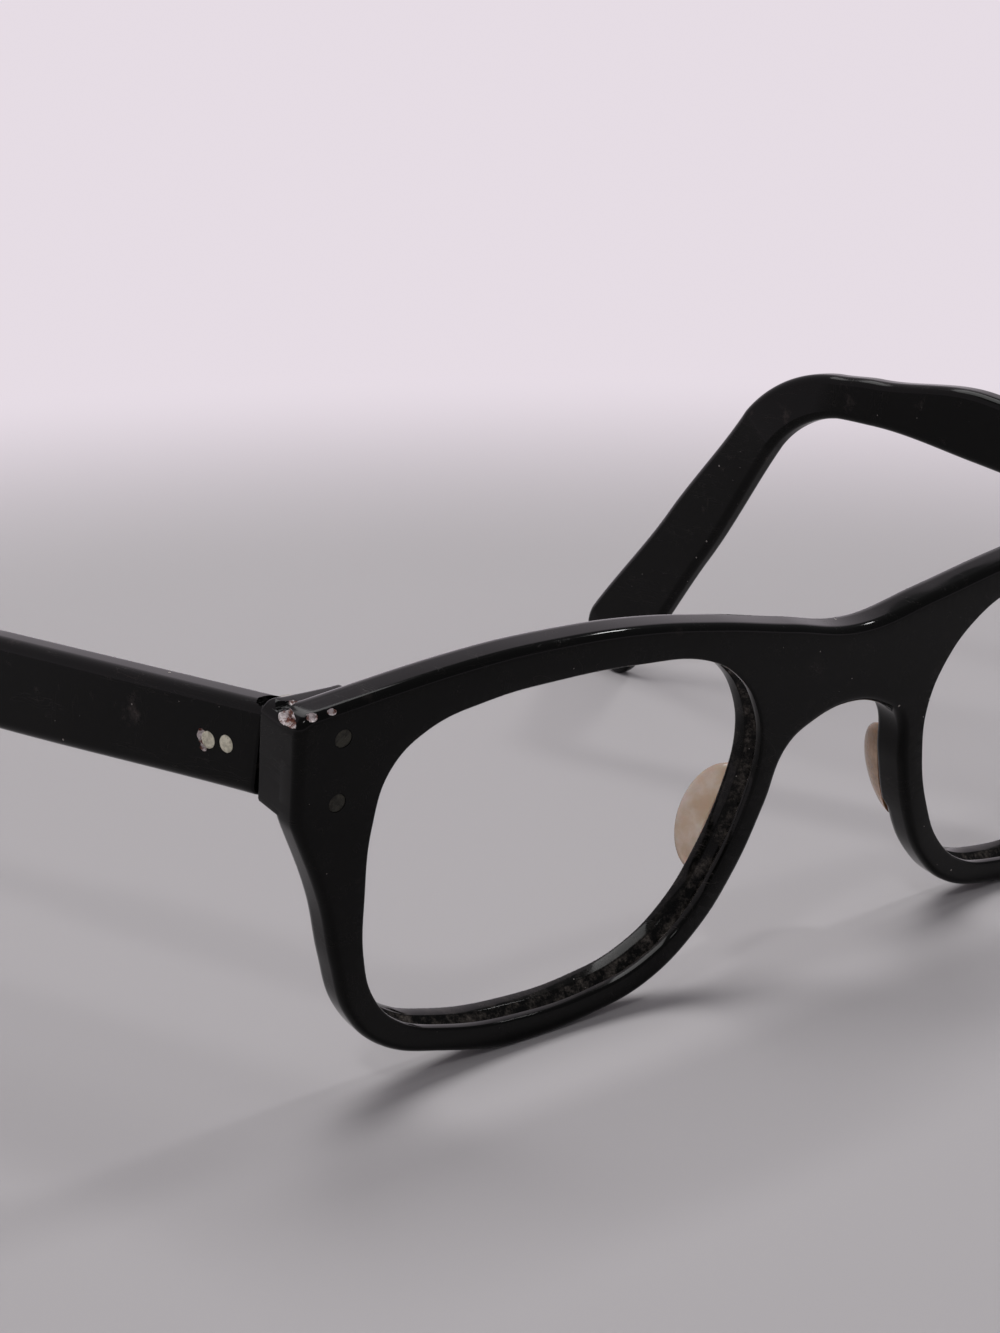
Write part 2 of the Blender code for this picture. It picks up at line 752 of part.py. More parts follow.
def make_temple_rivets(work, side, sign, axis):
    """Pins flush with the temple's outside that end inside its leaf."""
    start = AXIS_TO_INNER + LEAF_BITE
    return [
        work.cylinder(
            f"temple_rivet_{side}_{end}", TEMPLE_RIVET_HEAD, start, AXIS_TO_OUTER,
            parent=axis, place=(0, along, 0), turn=(0, sign * pi / 2, 0),
        )
        for end, along in zip(("front", "rear"), temple_rivet_places())
    ]


def make_nose_pad(work, side, sign, frame):
    """Half of a lens-shaped pad, standing on the back of the nasal rim."""
    shape = bmesh.new()
    bmesh.ops.create_uvsphere(shape, u_segments=PAD_SIDES, v_segments=PAD_BANDS, radius=1.0)
    size = Vector((PAD_THICKNESS / 2, PAD_LENGTH / 2, PAD_DEPTH))
    flare = Matrix.Rotation(-sign * PAD_FLARE, 3, "Y")
    lean = Matrix.Rotation(sign * PAD_LEAN, 3, "Z")
    for vert in shape.verts:
        vert.co = lean @ flare @ Vector(a * b for a, b in zip(vert.co, size))
    cut_line = bmesh.ops.bisect_plane(
        shape, geom=shape.verts[:] + shape.edges[:] + shape.faces[:],
        plane_co=(0, 0, 0), plane_no=(0, 0, 1), clear_outer=True,
    )
    rim = [item for item in cut_line["geom_cut"] if isinstance(item, bmesh.types.BMEdge)]
    bmesh.ops.contextual_create(shape, geom=rim)
    bmesh.ops.recalc_face_normals(shape, faces=shape.faces)
    middle = Vector((0, 0))
    for index in PAD_INDEXES:
        middle += (lens_point(index) + rim_point(index)) / (2 * len(PAD_INDEXES))
    place = (sign * middle.x, middle.y, BACK - GAP)
    return work.from_bmesh("nose_pad_" + side, shape, parent=frame, place=place)


def stand_on_origin(whole, parts):
    """Move the pair so that the middle of its footprint is at the origin."""
    bpy.context.view_layer.update()
    view = bpy.context.evaluated_depsgraph_get()
    places = []
    for piece in parts.objects:
        if piece.type == "MESH":
            mesh = piece.evaluated_get(view).data
            places += [piece.matrix_world @ vert.co for vert in mesh.vertices]
    low = [min(place[axis] for place in places) for axis in range(3)]
    high = [max(place[axis] for place in places) for axis in range(3)]
    whole.location = (-(low[0] + high[0]) / 2, -(low[1] + high[1]) / 2, -low[2])
    bpy.context.view_layer.update()


def main():
    clear_scene()
    parts = make_collection("broken_spectacles")
    guides = make_collection("cutters")
    work = Workshop(guides)
    acetate = make_material("black_acetate", (0.012, 0.011, 0.012), 0.16, coat=0.4)
    steel = make_material("hinge_steel", (0.42, 0.41, 0.38), 0.38, metallic=1.0)
    rivet = make_material("rivet_ends", (0.48, 0.49, 0.44), 0.45, metallic=0.7)
    amber = make_material("pad_acetate", (0.62, 0.47, 0.24), 0.25)
    whole = add_empty("spectacles", parts)
    lean = (pi / 2 + FRONT_LEAN, 0, 0)
    frame = add_empty("front_frame", parts, whole, (0, 0, FRONT_RAISE), lean)
    finish_piece(make_front(work, frame), acetate, parts)
    for side, tune in SIDES.items():
        sign = tune["sign"]
        pivot = (sign * AXIS_X, AXIS_Y, HINGE_HEIGHT)
        fixed = add_empty("hinge_pivot_" + side, parts, whole, pivot)
        turned = (0, 0, -sign * tune["splay"])
        axis = add_empty("temple_axis_" + side, parts, whole, pivot, turned)
        finish_piece(make_front_leaf(work, side, sign, frame, fixed), steel, parts)
        finish_piece(make_screw(work, side, fixed), steel, parts)
        finish_piece(make_nose_pad(work, side, sign, frame), amber, parts)
        finish_piece(make_temple(work, side, tune, axis, frame), acetate, parts)
        finish_piece(make_temple_leaf(work, side, sign, axis), steel, parts)
        pins = make_front_rivets(work, side, sign, frame)
        pins += make_temple_rivets(work, side, sign, axis)
        for pin in pins:
            finish_piece(pin, rivet, parts)
    stand_on_origin(whole, parts)


main()
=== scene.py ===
"""Broken spectacles in thick black acetate: their finish, their damage and their setting.

The pieces are laid out in two kinds of frame. The front's own frame has x across the
face, y up the face and z out of it. A temple's frame stands on its hinge axis, with y
running back along the temple. Right and left are the wearer's, so right is -X.
"""

import json
from math import cos, pi, radians, sin

import bmesh
import bpy
import numpy as np
from mathutils import Matrix, Vector, noise
from mathutils.geometry import delaunay_2d_cdt


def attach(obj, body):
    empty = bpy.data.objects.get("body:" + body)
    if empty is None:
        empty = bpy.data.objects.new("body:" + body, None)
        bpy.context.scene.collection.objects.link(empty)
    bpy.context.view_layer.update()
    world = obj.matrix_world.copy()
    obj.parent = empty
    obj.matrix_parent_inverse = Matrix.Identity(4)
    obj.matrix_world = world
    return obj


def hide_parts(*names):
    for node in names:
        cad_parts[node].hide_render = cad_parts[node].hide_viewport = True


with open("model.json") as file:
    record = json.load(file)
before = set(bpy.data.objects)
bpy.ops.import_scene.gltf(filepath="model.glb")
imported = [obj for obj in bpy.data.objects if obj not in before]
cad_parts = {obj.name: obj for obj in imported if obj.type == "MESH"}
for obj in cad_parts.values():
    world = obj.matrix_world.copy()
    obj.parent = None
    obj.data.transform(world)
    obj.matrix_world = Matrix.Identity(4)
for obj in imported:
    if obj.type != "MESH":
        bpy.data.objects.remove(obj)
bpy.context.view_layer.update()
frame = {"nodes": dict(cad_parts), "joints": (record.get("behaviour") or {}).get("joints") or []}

MM = 0.001

# Sizes that follow the solids
LENS_WIDTH = 47.3 * MM
LENS_HEIGHT = 36.2 * MM
BRIDGE_WIDTH = 24.2 * MM
LENS_SHAPE = (
    (0.195, 0.957, 3.80 * MM),
    (0.387, 0.993, 3.75 * MM),
    (0.590, 1.000, 4.00 * MM),
    (0.760, 0.987, 4.35 * MM),
    (0.896, 0.943, None),
    (0.968, 0.863, None),
    (0.998, 0.714, None),
    (0.998, 0.520, 4.50 * MM),
    (0.985, 0.341, 3.20 * MM),
    (0.951, 0.211, 3.00 * MM),
    (0.882, 0.112, 2.90 * MM),
    (0.748, 0.040, 2.75 * MM),
    (0.548, 0.000, 3.20 * MM),
    (0.378, 0.006, 2.95 * MM),
    (0.241, 0.051, 3.00 * MM),
    (0.137, 0.153, 2.90 * MM),
    (0.066, 0.300, 3.00 * MM),
    (0.015, 0.480, 3.10 * MM),
    (0.000, 0.645, None),
    (0.030, 0.775, None),
    (0.093, 0.880, None),
)
LOWEST_INDEX = 12
PAD_INDEXES = (16, 17)
FRONT_THICKNESS = 4.2 * MM
FRONT_LEAN = radians(12.5)
SOLID_EDGE = 1.2 * MM
ENDPIECE_REACH = 8.8 * MM
ENDPIECE_BELOW_TOP = 2.1 * MM
ENDPIECE_HEIGHT = 10.6 * MM
ENDPIECE_CORNER = 1.0 * MM
ENDPIECE_DEPTH = 6.0 * MM
BLOCK_WIDTH = 8.0 * MM
BLOCK_BELOW_TOP = 0.6 * MM
BLOCK_INSET = 0.02 * MM
BRIDGE_DIP = 5.6 * MM
BRIDGE_HEIGHT = 8.8 * MM
SHOULDER_RISE = 1.7 * MM
SHOULDER_SHARE = 0.83
ARCH_CORNER = (0.60, 1.3 * MM)
ARCH_SIDE = (0.89, 3.2 * MM)
RIVET_RADIUS = 0.85 * MM
RIVET_INSET = 4.7 * MM
RIVET_BELOW_TOP = 2.7 * MM
RIVET_SPACING = 6.2 * MM
TEMPLE_RIVET_FROM_AXIS = 3.1 * MM
TEMPLE_RIVET_SPACING = 2.2 * MM
TEMPLE_RIVET_RADIUS = 0.8 * MM
LEAF_THICKNESS = 0.8 * MM
FRONT_LEAF_WIDTH = 4.6 * MM
FRONT_LEAF_HEIGHT = 9.2 * MM
TEMPLE_LEAF_LENGTH = 8.4 * MM
TEMPLE_LEAF_HEIGHT = 5.0 * MM
BARREL_RADIUS = 1.15 * MM
GAP = 0.25 * MM
TEMPLE_STRAIGHT = 57.0 * MM
BEND_RADIUS = 16.3 * MM
TEMPLE_DROP = 51.5 * MM
TIP_ROUNDING = 5.0 * MM
TEMPLE_INSET = 2.0 * MM
TEMPLE_START = 4.0 * MM
TOP_TAPER = 0.75
HEIGHTS_STRAIGHT = ((0.0, 8.75 * MM), (0.60, 9.2 * MM), (0.90, 6.2 * MM), (1.0, 5.8 * MM))
HEIGHTS_DROP = ((0.0, 7.2 * MM), (0.50, 9.6 * MM), (1.0, 11.8 * MM))
SOLID_STEPS = 14
THICKNESS_HINGE = 3.5 * MM
THICKNESS_BEND = 3.2 * MM
THICKNESS_TIP = 2.6 * MM
TIP_TURN = radians(84)
TIP_BLUNTNESS = 0.6
TIP_THINNING = 0.35
FALL_RANGE = (radians(15), radians(85))
FALL_HALVINGS = 24
SIDES = {
    "right": {
        "sign": -1, "splay": radians(13.3), "rise": radians(1.5), "bow": 0.0, "inward": 0.0,
    },
    "left": {
        "sign": 1, "splay": radians(2.0), "rise": radians(15.5), "bow": radians(14.0),
        "inward": 5.8 * MM,
    },
}
PAD_LENGTH = 12.0 * MM
PAD_DEPTH = 4.2 * MM  # 0.4 mm less than the solid's
PAD_THICKNESS = 2.6 * MM
PAD_LEAN = radians(20.0)
PAD_FLARE = radians(14.0)

# Finish of the acetate's edges
FACE_EDGE = 0.95 * MM
BACK_EDGE = 1.7 * MM
NOSE_EDGE = 0.8 * MM
BLOCK_EDGE = 0.8 * MM
OPENING_EDGE = 0.3 * MM
TEMPLE_CORNER = 1.1 * MM
CORNER_SHARE = 0.42
LEAST_CORNER = 0.02 * MM
END_EDGE = 0.25 * MM
OUTLINE_STEP = 0.3 * MM
OUTLINE_SOFTNESS = 0.45 * MM
FACE_GRID = 1.1 * MM
GRID_CLEARANCE = FACE_GRID * 0.7
ROOM_IN_BEND = 0.8
ROOM_PASSES = 6
GROOVE_FACE_LIP = 0.95 * MM
GROOVE_WIDTH = 1.65 * MM
GROOVE_DEPTH = 0.85 * MM
GROOVE_SOFT = 0.08 * MM
LIP_DIRT = 0.25
LUMP_ROUGHNESS = 0.16
BREAK_STANDS_OUT = 0.12 * MM
RIVET_DOME = 0.05 * MM
FIT = 0.03 * MM
WELD = 0.002 * MM
ACETATE_CREASE = 32
SMALL_CREASE = 50

# Steps along and round the pieces
CURVE_STEPS = 24
EDGE_STEPS = 6
OPENING_EDGE_STEPS = 4
END_EDGE_STEPS = 3
SECTION_STEPS = 8
BEND_STEPS = 8
DROP_STEPS = 8
TIP_STEPS = 5
FINE = 5
COARSE = 2
ROUND_STEPS = 48
DOME_STEPS = 10
LUMP_DETAIL = 5

# Places that follow from the sizes
NASAL_EDGE = BRIDGE_WIDTH / 2
HALF_SPAN = NASAL_EDGE + LENS_WIDTH + ENDPIECE_REACH
LENS_BOTTOM = LENS_SHAPE[LOWEST_INDEX][2]
FRONT_TOP = LENS_BOTTOM + LENS_HEIGHT + LENS_SHAPE[2][2]
ENDPIECE_TOP = FRONT_TOP - ENDPIECE_BELOW_TOP
BRIDGE_TOP = FRONT_TOP - BRIDGE_DIP
BRIDGE_UNDER = BRIDGE_TOP - BRIDGE_HEIGHT
NOSE_HALF = NASAL_EDGE - LENS_SHAPE[PAD_INDEXES[1]][2]
FACE = FRONT_THICKNESS / 2
BACK = -FRONT_THICKNESS / 2
END_BACK = FACE - ENDPIECE_DEPTH
RIVET_X = HALF_SPAN - RIVET_INSET
LEAF_MIDDLE = ENDPIECE_TOP - RIVET_BELOW_TOP - RIVET_SPACING / 2
AXIS_TO_INNER = BARREL_RADIUS + GAP
AXIS_TO_OUTER = AXIS_TO_INNER + THICKNESS_HINGE

JOINTS = {joint["name"]: Vector(joint["pos_m"]) for joint in frame["joints"]}
PIVOTS = {side: JOINTS[side + "_temple_fold"] for side in SIDES}
MIDDLE_X = (PIVOTS["right"].x + PIVOTS["left"].x) / 2
HINGE_HEIGHT = PIVOTS["right"].z
FRONT_RAISE = SOLID_EDGE * (1 - cos(FRONT_LEAN)) + (FACE - SOLID_EDGE) * sin(FRONT_LEAN)
FRONT_SET_BACK = 1.86 * MM


def front_matrix():
    """From the front's own frame to the world."""
    place = Matrix.Translation((MIDDLE_X, PIVOTS["right"].y + FRONT_SET_BACK, FRONT_RAISE))
    return place @ Matrix.Rotation(pi / 2 + FRONT_LEAN, 4, "X")


def temple_matrix(side):
    """From a temple's own frame to the world."""
    turn = Matrix.Rotation(-SIDES[side]["sign"] * SIDES[side]["splay"], 4, "Z")
    return Matrix.Translation(PIVOTS[side]) @ turn


FRONT = front_matrix()


class Channel:
    """A number from a shader node. Arithmetic on it adds Math nodes."""

    def __init__(self, paint, socket):
        self.paint = paint
        self.socket = socket

    def maths(self, operation, *values):
        """The result of one Math node on its values, numbers or channels."""
        inputs = dict(enumerate(values))
        return self.paint.node("ShaderNodeMath", {"operation": operation}, inputs)

    def __add__(self, other):
        return self.maths("ADD", self, other)

    def __sub__(self, other):
        return self.maths("SUBTRACT", self, other)

    def __rsub__(self, other):
        return self.maths("SUBTRACT", other, self)

    def __mul__(self, other):
        return self.maths("MULTIPLY", self, other)

    __radd__ = __add__
    __rmul__ = __mul__

    def absolute(self):
        return self.maths("ABSOLUTE", self)

    def between(self, low, high):
        """Smoothly 0 at low and 1 at high; low may be the larger."""
        flip = low > high
        inputs = {"Value": self, "From Min": min(low, high), "From Max": max(low, high)}
        made = self.paint.node("ShaderNodeMapRange", {"interpolation_type": "SMOOTHSTEP"}, inputs)
        return 1 - made if flip else made


class Paint:
    """One material and its nodes."""

    def __init__(self, name):
        self.material = bpy.data.materials.new(name)
        self.material.use_nodes = True
        self.tree = self.material.node_tree
        self.shader = self.tree.nodes["Principled BSDF"]

    def node(self, kind, settings=None, inputs=None, output=0):
        """Add a node, set it up, fill or link its sockets and return one of its outputs."""
        made = self.tree.nodes.new(kind)
        for name, value in (settings or {}).items():
            setattr(made, name, value)
        for key, value in (inputs or {}).items():
            if isinstance(value, Channel):
                self.tree.links.new(value.socket, made.inputs[key])
            else:
                made.inputs[key].default_value = value
        return Channel(self, made.outputs[output])

    def places(self, scale=(1.0, 1.0, 1.0), turn=(0.0, 0.0, 0.0)):
        """Coordinates in millimetres on the piece, turned and then scaled."""
        own = self.node("ShaderNodeTexCoord", output="Object")
        scale = tuple(value / MM for value in scale)
        settings = {"vector_type": "TEXTURE"}
        turned = self.node("ShaderNodeMapping", settings, {"Vector": own, "Rotation": turn})
        inputs = {0: turned, 1: scale}
        return self.node("ShaderNodeVectorMath", {"operation": "MULTIPLY"}, inputs)

    def noise(self, where, scale, detail=3.0, rough=0.5):
        inputs = {"Vector": where, "Scale": scale, "Detail": detail, "Roughness": rough}
        return self.node("ShaderNodeTexNoise", None, inputs)

    def specks(self, where, scale, share, radius):
        """Round specks: the share of cells that hold one, and its radius as a share of a cell."""
        settings = {"feature": "F1"}
        inputs = {"Vector": where, "Scale": scale}
        near = self.node("ShaderNodeTexVoronoi", settings, inputs, "Distance")
        cell = self.node("ShaderNodeTexVoronoi", settings, inputs, "Color")
        chance = self.node("ShaderNodeSeparateColor", None, {0: cell})
        size = self.node("ShaderNodeSeparateColor", None, {0: cell}, 1) + 0.3
        keep = chance.between(1 - share, 1 - share + 0.01)
        return keep * (size * radius - near).between(0.0, radius * 0.5)

    def scratches(self, where, scale, width, gate_scale, gate):
        """Thin lines: where a stretched noise crosses its middle, inside patches."""
        line = (self.noise(where, scale, 1.0) - 0.5).absolute().between(width, 0.0)
        patch = self.noise(where, gate_scale, 1.0).between(gate, gate + 0.04)
        return line * patch

    def mix(self, share, first, second):
        """Two colours mixed, by the share of the second."""
        settings = {"data_type": "RGBA"}
        first, second = (c if isinstance(c, Channel) else (*c, 1.0) for c in (first, second))
        return self.node("ShaderNodeMix", settings, {0: share, 6: first, 7: second}, 2)

    def attribute(self, name):
        return self.node("ShaderNodeAttribute", {"attribute_name": name}, output="Fac")

    def bump(self, height, depth):
        return self.node("ShaderNodeBump", None, {"Height": height, "Distance": depth})

    def finish(self, **sockets):
        """Feed the Principled shader; a name's underscores stand for spaces."""
        for name, value in sockets.items():
            socket = self.shader.inputs[name.replace("_", " ")]
            if isinstance(value, Channel):
                self.tree.links.new(value.socket, socket)
            else:
                socket.default_value = (*value, 1.0) if isinstance(value, tuple) else value
        return self.material


BLACK = (0.0022, 0.0022, 0.0019)
DUST = (0.50, 0.46, 0.43)
SCUFF = (0.075, 0.060, 0.056)
GROOVE_DIRT = (0.14, 0.12, 0.105)


def black_acetate(name, scuffs, grain_turn):
    """Old polished acetate: hazy patches, hairline scratches, dust and rubbed marks."""
    paint = Paint(name)
    spot = paint.places()
    along = paint.places((1.0, 0.035, 1.0), (0.0, 0.0, grain_turn))
    across = paint.places((0.05, 1.0, 0.3), (0.3, 0.5, grain_turn))
    haze = paint.noise(spot, 0.13, 4.0).between(0.42, 0.72)
    grain = paint.noise(spot, 7.0, 2.0)
    hairs = paint.scratches(along, 2.3, 0.012, 0.45, 0.54)
    hairs = hairs + paint.scratches(across, 1.4, 0.010, 0.3, 0.60) * 0.7
    dust = paint.specks(spot, 0.42, 0.24, 0.055) + paint.specks(spot, 1.3, 0.08, 0.075)
    rubbed = paint.noise(spot, 0.24, 5.0, 0.65).between(0.60, 0.78) * scuffs
    groove = paint.attribute("groove")
    fluff = paint.noise(spot, 0.8, 6.0, 0.75).between(0.44, 0.74) * groove
    grime = rubbed * 0.55 + hairs * 0.16
    colour = paint.mix(grime, BLACK, SCUFF)
    colour = paint.mix(fluff * 0.8, colour, GROOVE_DIRT)
    colour = paint.mix(dust * 0.75, colour, DUST)
    rough = haze * 0.07 + grain * 0.03 + rubbed * 0.25 + hairs * 0.25 + dust * 0.5 + fluff * 0.3
    waves = paint.noise(spot, 0.10, 1.0) + hairs * -0.02 + dust * 0.12 + grain * 0.006
    return paint.finish(
        Base_Color=colour, Roughness=rough + 0.045, IOR=1.48, Specular_IOR_Level=0.13,
        Normal=paint.bump(waves + fluff * 0.1, 0.06 * MM),
    )


def broken_acetate():
    """The inside of the acetate where it has snapped: a brown bed, with painted highlights on its
    ridges.
    """
    paint = Paint("acetate_break")
    spot = paint.places()
    ridges = paint.noise(spot, 0.95, 6.0, 0.7)
    # Painted highlight: the pale pink-white mix on the ridges stands for the glints of the broken
    # facets; the brown bed is the acetate's own tint.
    pale = ridges.between(0.46, 0.56)
    flecks = paint.noise(spot, 5.0, 3.0, 0.6).between(0.5, 0.7)
    bed = paint.mix(flecks, (0.13, 0.025, 0.012), (0.62, 0.24, 0.12))
    colour = paint.mix(pale * 0.95, bed, (0.95, 0.86, 0.86))
    return paint.finish(
        Base_Color=colour, Roughness=0.30 + flecks * 0.25,
        Normal=paint.bump(ridges + flecks * 0.3, 0.5 * MM), IOR=1.48,
    )


def rivet_metal(name, clean, tarnished, metallic):
    """Nickel pin ends, dulled and spotted with tarnish; the near-black colours passed in for the
    endpiece rivets are painted shade.
    """
    paint = Paint(name)
    spot = paint.places()
    tarnish = paint.noise(spot, 1.4, 5.0, 0.65).between(0.38, 0.68)
    pits = paint.specks(spot, 3.2, 0.30, 0.20)
    colour = paint.mix(tarnish, clean, tarnished)
    colour = paint.mix(pits * 0.7, colour, (0.08, 0.07, 0.05))
    return paint.finish(
        Base_Color=colour, Roughness=0.40 + tarnish * 0.25, Metallic=metallic,
        Normal=paint.bump(tarnish - pits, 0.05 * MM),
    )


def hinge_metal():
    """Nickel silver with brushed lines and a brown film in places."""
    paint = Paint("hinge_steel_worn")
    spot = paint.places()
    brushed = paint.noise(paint.places((0.2, 0.2, 6.0)), 2.0, 3.0)
    film = paint.noise(spot, 0.7, 5.0, 0.6).between(0.45, 0.75)
    colour = paint.mix(film, (0.50, 0.49, 0.45), (0.20, 0.16, 0.11))
    return paint.finish(
        Base_Color=colour, Roughness=0.26 + film * 0.3 + brushed * 0.12, Metallic=1.0,
        Normal=paint.bump(brushed + film * 0.4, 0.02 * MM),
    )


def pad_acetate(name, clear, cloudy):
    """Clear pad acetate gone amber, with a grey film and fine cloudiness."""
    paint = Paint(name)
    spot = paint.places()
    cloud = paint.noise(spot, 0.35, 4.0, 0.6).between(0.35, 0.7)
    film = paint.noise(spot, 2.2, 5.0, 0.7).between(0.5, 0.72)
    colour = paint.mix(cloud, clear, cloudy)
    colour = paint.mix(film * 0.15, colour, (0.66, 0.58, 0.50))
    return paint.finish(
        Base_Color=colour, Roughness=0.16 + film * 0.08, IOR=1.48, Transmission_Weight=0.55,
        Subsurface_Weight=0.25, Subsurface_Scale=1.5 * MM,
        Normal=paint.bump(cloud, 0.03 * MM),
    )


def close_line(points, corners=(), level=()):
    """The closed line that runs through knots; some are sharp and some run level."""
    curve = bpy.data.curves.new("line", "CURVE")
    curve.dimensions = "2D"
    curve.fill_mode = "NONE"
    curve.resolution_u = CURVE_STEPS
    spline = curve.splines.new("BEZIER")
    spline.bezier_points.add(len(points) - 1)
    for index, (knot, point) in enumerate(zip(spline.bezier_points, points)):
        knot.co = (point[0], point[1], 0.0)
        kind = "VECTOR" if index in corners else "AUTO"
        knot.handle_left_type = kind
        knot.handle_right_type = kind
        if index in level:
            before = points[index - 1][0] - point[0]
            after = points[(index + 1) % len(points)][0] - point[0]
            knot.handle_left_type = "FREE"
            knot.handle_right_type = "FREE"
            knot.handle_left = knot.co + Vector((before / 3, 0, 0))
            knot.handle_right = knot.co + Vector((after / 3, 0, 0))
    spline.use_cyclic_u = True
    drawn = bpy.data.objects.new("line", curve)
    bpy.context.scene.collection.objects.link(drawn)
    view = bpy.context.evaluated_depsgraph_get()
    mesh = bpy.data.meshes.new_from_object(drawn.evaluated_get(view))
    line = np.array([vert.co[:2] for vert in mesh.vertices])
    bpy.data.objects.remove(drawn, do_unlink=True)
    bpy.data.meshes.remove(mesh)
    return line


def even_line(line, step, softness):
    """The line again with even steps, anticlockwise, its corners eased."""
    area = np.sum(line[:, 0] * np.roll(line[:, 1], -1) - line[:, 1] * np.roll(line[:, 0], -1))
    if area < 0:
        line = line[::-1]
    closed = np.vstack([line, line[:1]])
    lengths = np.concatenate([[0.0], np.cumsum(np.hypot(*np.diff(closed, axis=0).T))])
    count = int(round(lengths[-1] / step))
    marks = np.arange(count) * lengths[-1] / count
    even = np.stack([np.interp(marks, lengths, closed[:, k]) for k in (0, 1)], axis=1)
    reach = int(4 * softness / step) + 1
    offsets = np.arange(-reach, reach + 1)
    weights = np.exp(-0.5 * (offsets * step / softness) ** 2)
    weights /= weights.sum()
    return sum(w * np.roll(even, -k, axis=0) for k, w in zip(offsets, weights))


def outward(line):
    """Unit vectors square off an anticlockwise line, pointing out."""
    along = np.roll(line, -1, axis=0) - np.roll(line, 1, axis=0)
    along /= np.hypot(*along.T)[:, None]
    return np.stack([along[:, 1], -along[:, 0]], axis=1)


def room_inside(line, step, wanted):
    """How far each point may move inwards before a tight corner folds over."""
    normals = outward(line)
    turn = np.roll(normals, -1, axis=0) - np.roll(normals, 1, axis=0)
    bend = np.sum(turn * (np.roll(line, -1, axis=0) - np.roll(line, 1, axis=0)), axis=1)
    curvature = np.maximum(bend / (2 * step) ** 2, 1e-9)
    room = np.minimum(ROOM_IN_BEND / curvature, wanted)
    for _ in range(ROOM_PASSES):
        room = np.minimum(room, (np.roll(room, 1) + np.roll(room, -1)) / 2)
    return room


def lens_point(index):
    """A point of the left opening's edge."""
    across, up, _ = LENS_SHAPE[index]
    return Vector((NASAL_EDGE + across * LENS_WIDTH, LENS_BOTTOM + up * LENS_HEIGHT))


def rim_point(index):
    """The point on the rim's outer edge that lies square off the opening."""
    count = len(LENS_SHAPE)
    along = lens_point((index + 1) % count) - lens_point(index - 1)
    return lens_point(index) + Vector((-along.y, along.x)).normalized() * LENS_SHAPE[index][2]


def mirrored(points):
    return [(-x, y) for x, y in points]


def opening_line(sign):
    knots = [tuple(lens_point(index)) for index in range(len(LENS_SHAPE))]
    return close_line(knots if sign > 0 else mirrored(knots))


def front_line():
    """The front's outer edge, once round."""
    rims = [index for index, point in enumerate(LENS_SHAPE) if point[2]]
    over = [tuple(rim_point(index)) for index in rims if index < LOWEST_INDEX // 2]
    under = [tuple(rim_point(index)) for index in rims if index > LOWEST_INDEX // 2]
    shoulder = (SHOULDER_SHARE * NASAL_EDGE, BRIDGE_TOP + SHOULDER_RISE)
    endpiece = [
        (HALF_SPAN - ENDPIECE_CORNER, ENDPIECE_TOP),
        (HALF_SPAN, ENDPIECE_TOP - ENDPIECE_CORNER),
        (HALF_SPAN - ENDPIECE_CORNER / 2, ENDPIECE_TOP - ENDPIECE_HEIGHT),
    ]
    arch = [
        (ARCH_SIDE[0] * NOSE_HALF, BRIDGE_UNDER - ARCH_SIDE[1]),
        (ARCH_CORNER[0] * NOSE_HALF, BRIDGE_UNDER - ARCH_CORNER[1]),
    ]
    half = [shoulder] + over + endpiece + under + arch
    whole = [(0.0, BRIDGE_TOP)] + half + [(0.0, BRIDGE_UNDER)] + mirrored(half[::-1])
    first = 2 + len(over)
    foot = first + len(endpiece) + rims.index(LOWEST_INDEX) - len(over)

    def both_sides(index):
        return [index, len(whole) - index]

    corners = [index for step in range(len(endpiece)) for index in both_sides(first + step)]
    return close_line(whole, corners, both_sides(foot))


def inside(points, line):
    """Which points lie inside a closed line."""
    x, y = points[:, 0][:, None], points[:, 1][:, None]
    x1, y1 = line[:, 0][None], line[:, 1][None]
    x2, y2 = np.roll(line[:, 0], -1)[None], np.roll(line[:, 1], -1)[None]
    spans = (y1 > y) != (y2 > y)
    cross = x < (x2 - x1) * (y - y1) / np.where(y2 == y1, 1e-12, y2 - y1) + x1
    return (np.count_nonzero(spans & cross, axis=1) % 2).astype(bool)


def distance_to(points, line):
    """Distance from each point to the nearest of a line's points."""
    gaps = points[:, None, :] - line[None, ::3, :]
    return np.sqrt(np.min(np.sum(gaps ** 2, axis=2), axis=1))


def fill_face(shape, outer, holes, height):
    """A flat face between an outer line and holes, with points spread inside it."""
    low, high = outer.min(axis=0), outer.max(axis=0)
    across = np.arange(low[0], high[0], FACE_GRID)
    up = np.arange(low[1], high[1], FACE_GRID)
    rows = enumerate(up)
    grid = np.array([(x + (row % 2) * FACE_GRID / 2, y) for row, y in rows for x in across])
    keep = inside(grid, outer) & (distance_to(grid, outer) > GRID_CLEARANCE)
    for hole in holes:
        keep &= ~inside(grid, hole) & (distance_to(grid, hole) > GRID_CLEARANCE)
    lines = [outer, *holes]
    points = np.vstack([*lines, grid[keep]])
    edges, start = [], 0
    for line in lines:
        count = len(line)
        edges += [(start + k, start + (k + 1) % count) for k in range(count)]
        start += count
    flat = [Vector(point / MM) for point in points]
    places, _, faces, *_ = delaunay_2d_cdt(flat, edges, [], 0, 1e-6)
    places = np.array([tuple(place) for place in places]) * MM
    centres = np.array([places[list(face)].mean(axis=0) for face in faces])
    keep = inside(centres, outer)
    for hole in holes:
        keep &= ~inside(centres, hole)
    verts = [shape.verts.new((x, y, height)) for x, y in places]
    for face, kept in zip(faces, keep):
        if kept:
            shape.faces.new([verts[index] for index in face])


def skin(shape, layer, rings, marks=None):
    """Quads between closed rings of as many points; marks give each ring's groove value."""
    loops = []
    for index, ring in enumerate(rings):
        loop = [shape.verts.new(point) for point in ring]
        for vert in loop:
            vert[layer] = marks[index] if marks else 0.0
        loops.append(loop)
    for near, far in zip(loops, loops[1:]):
        for k in range(len(near)):
            after = (k + 1) % len(near)
            shape.faces.new((near[k], near[after], far[after], far[k]))
    return loops


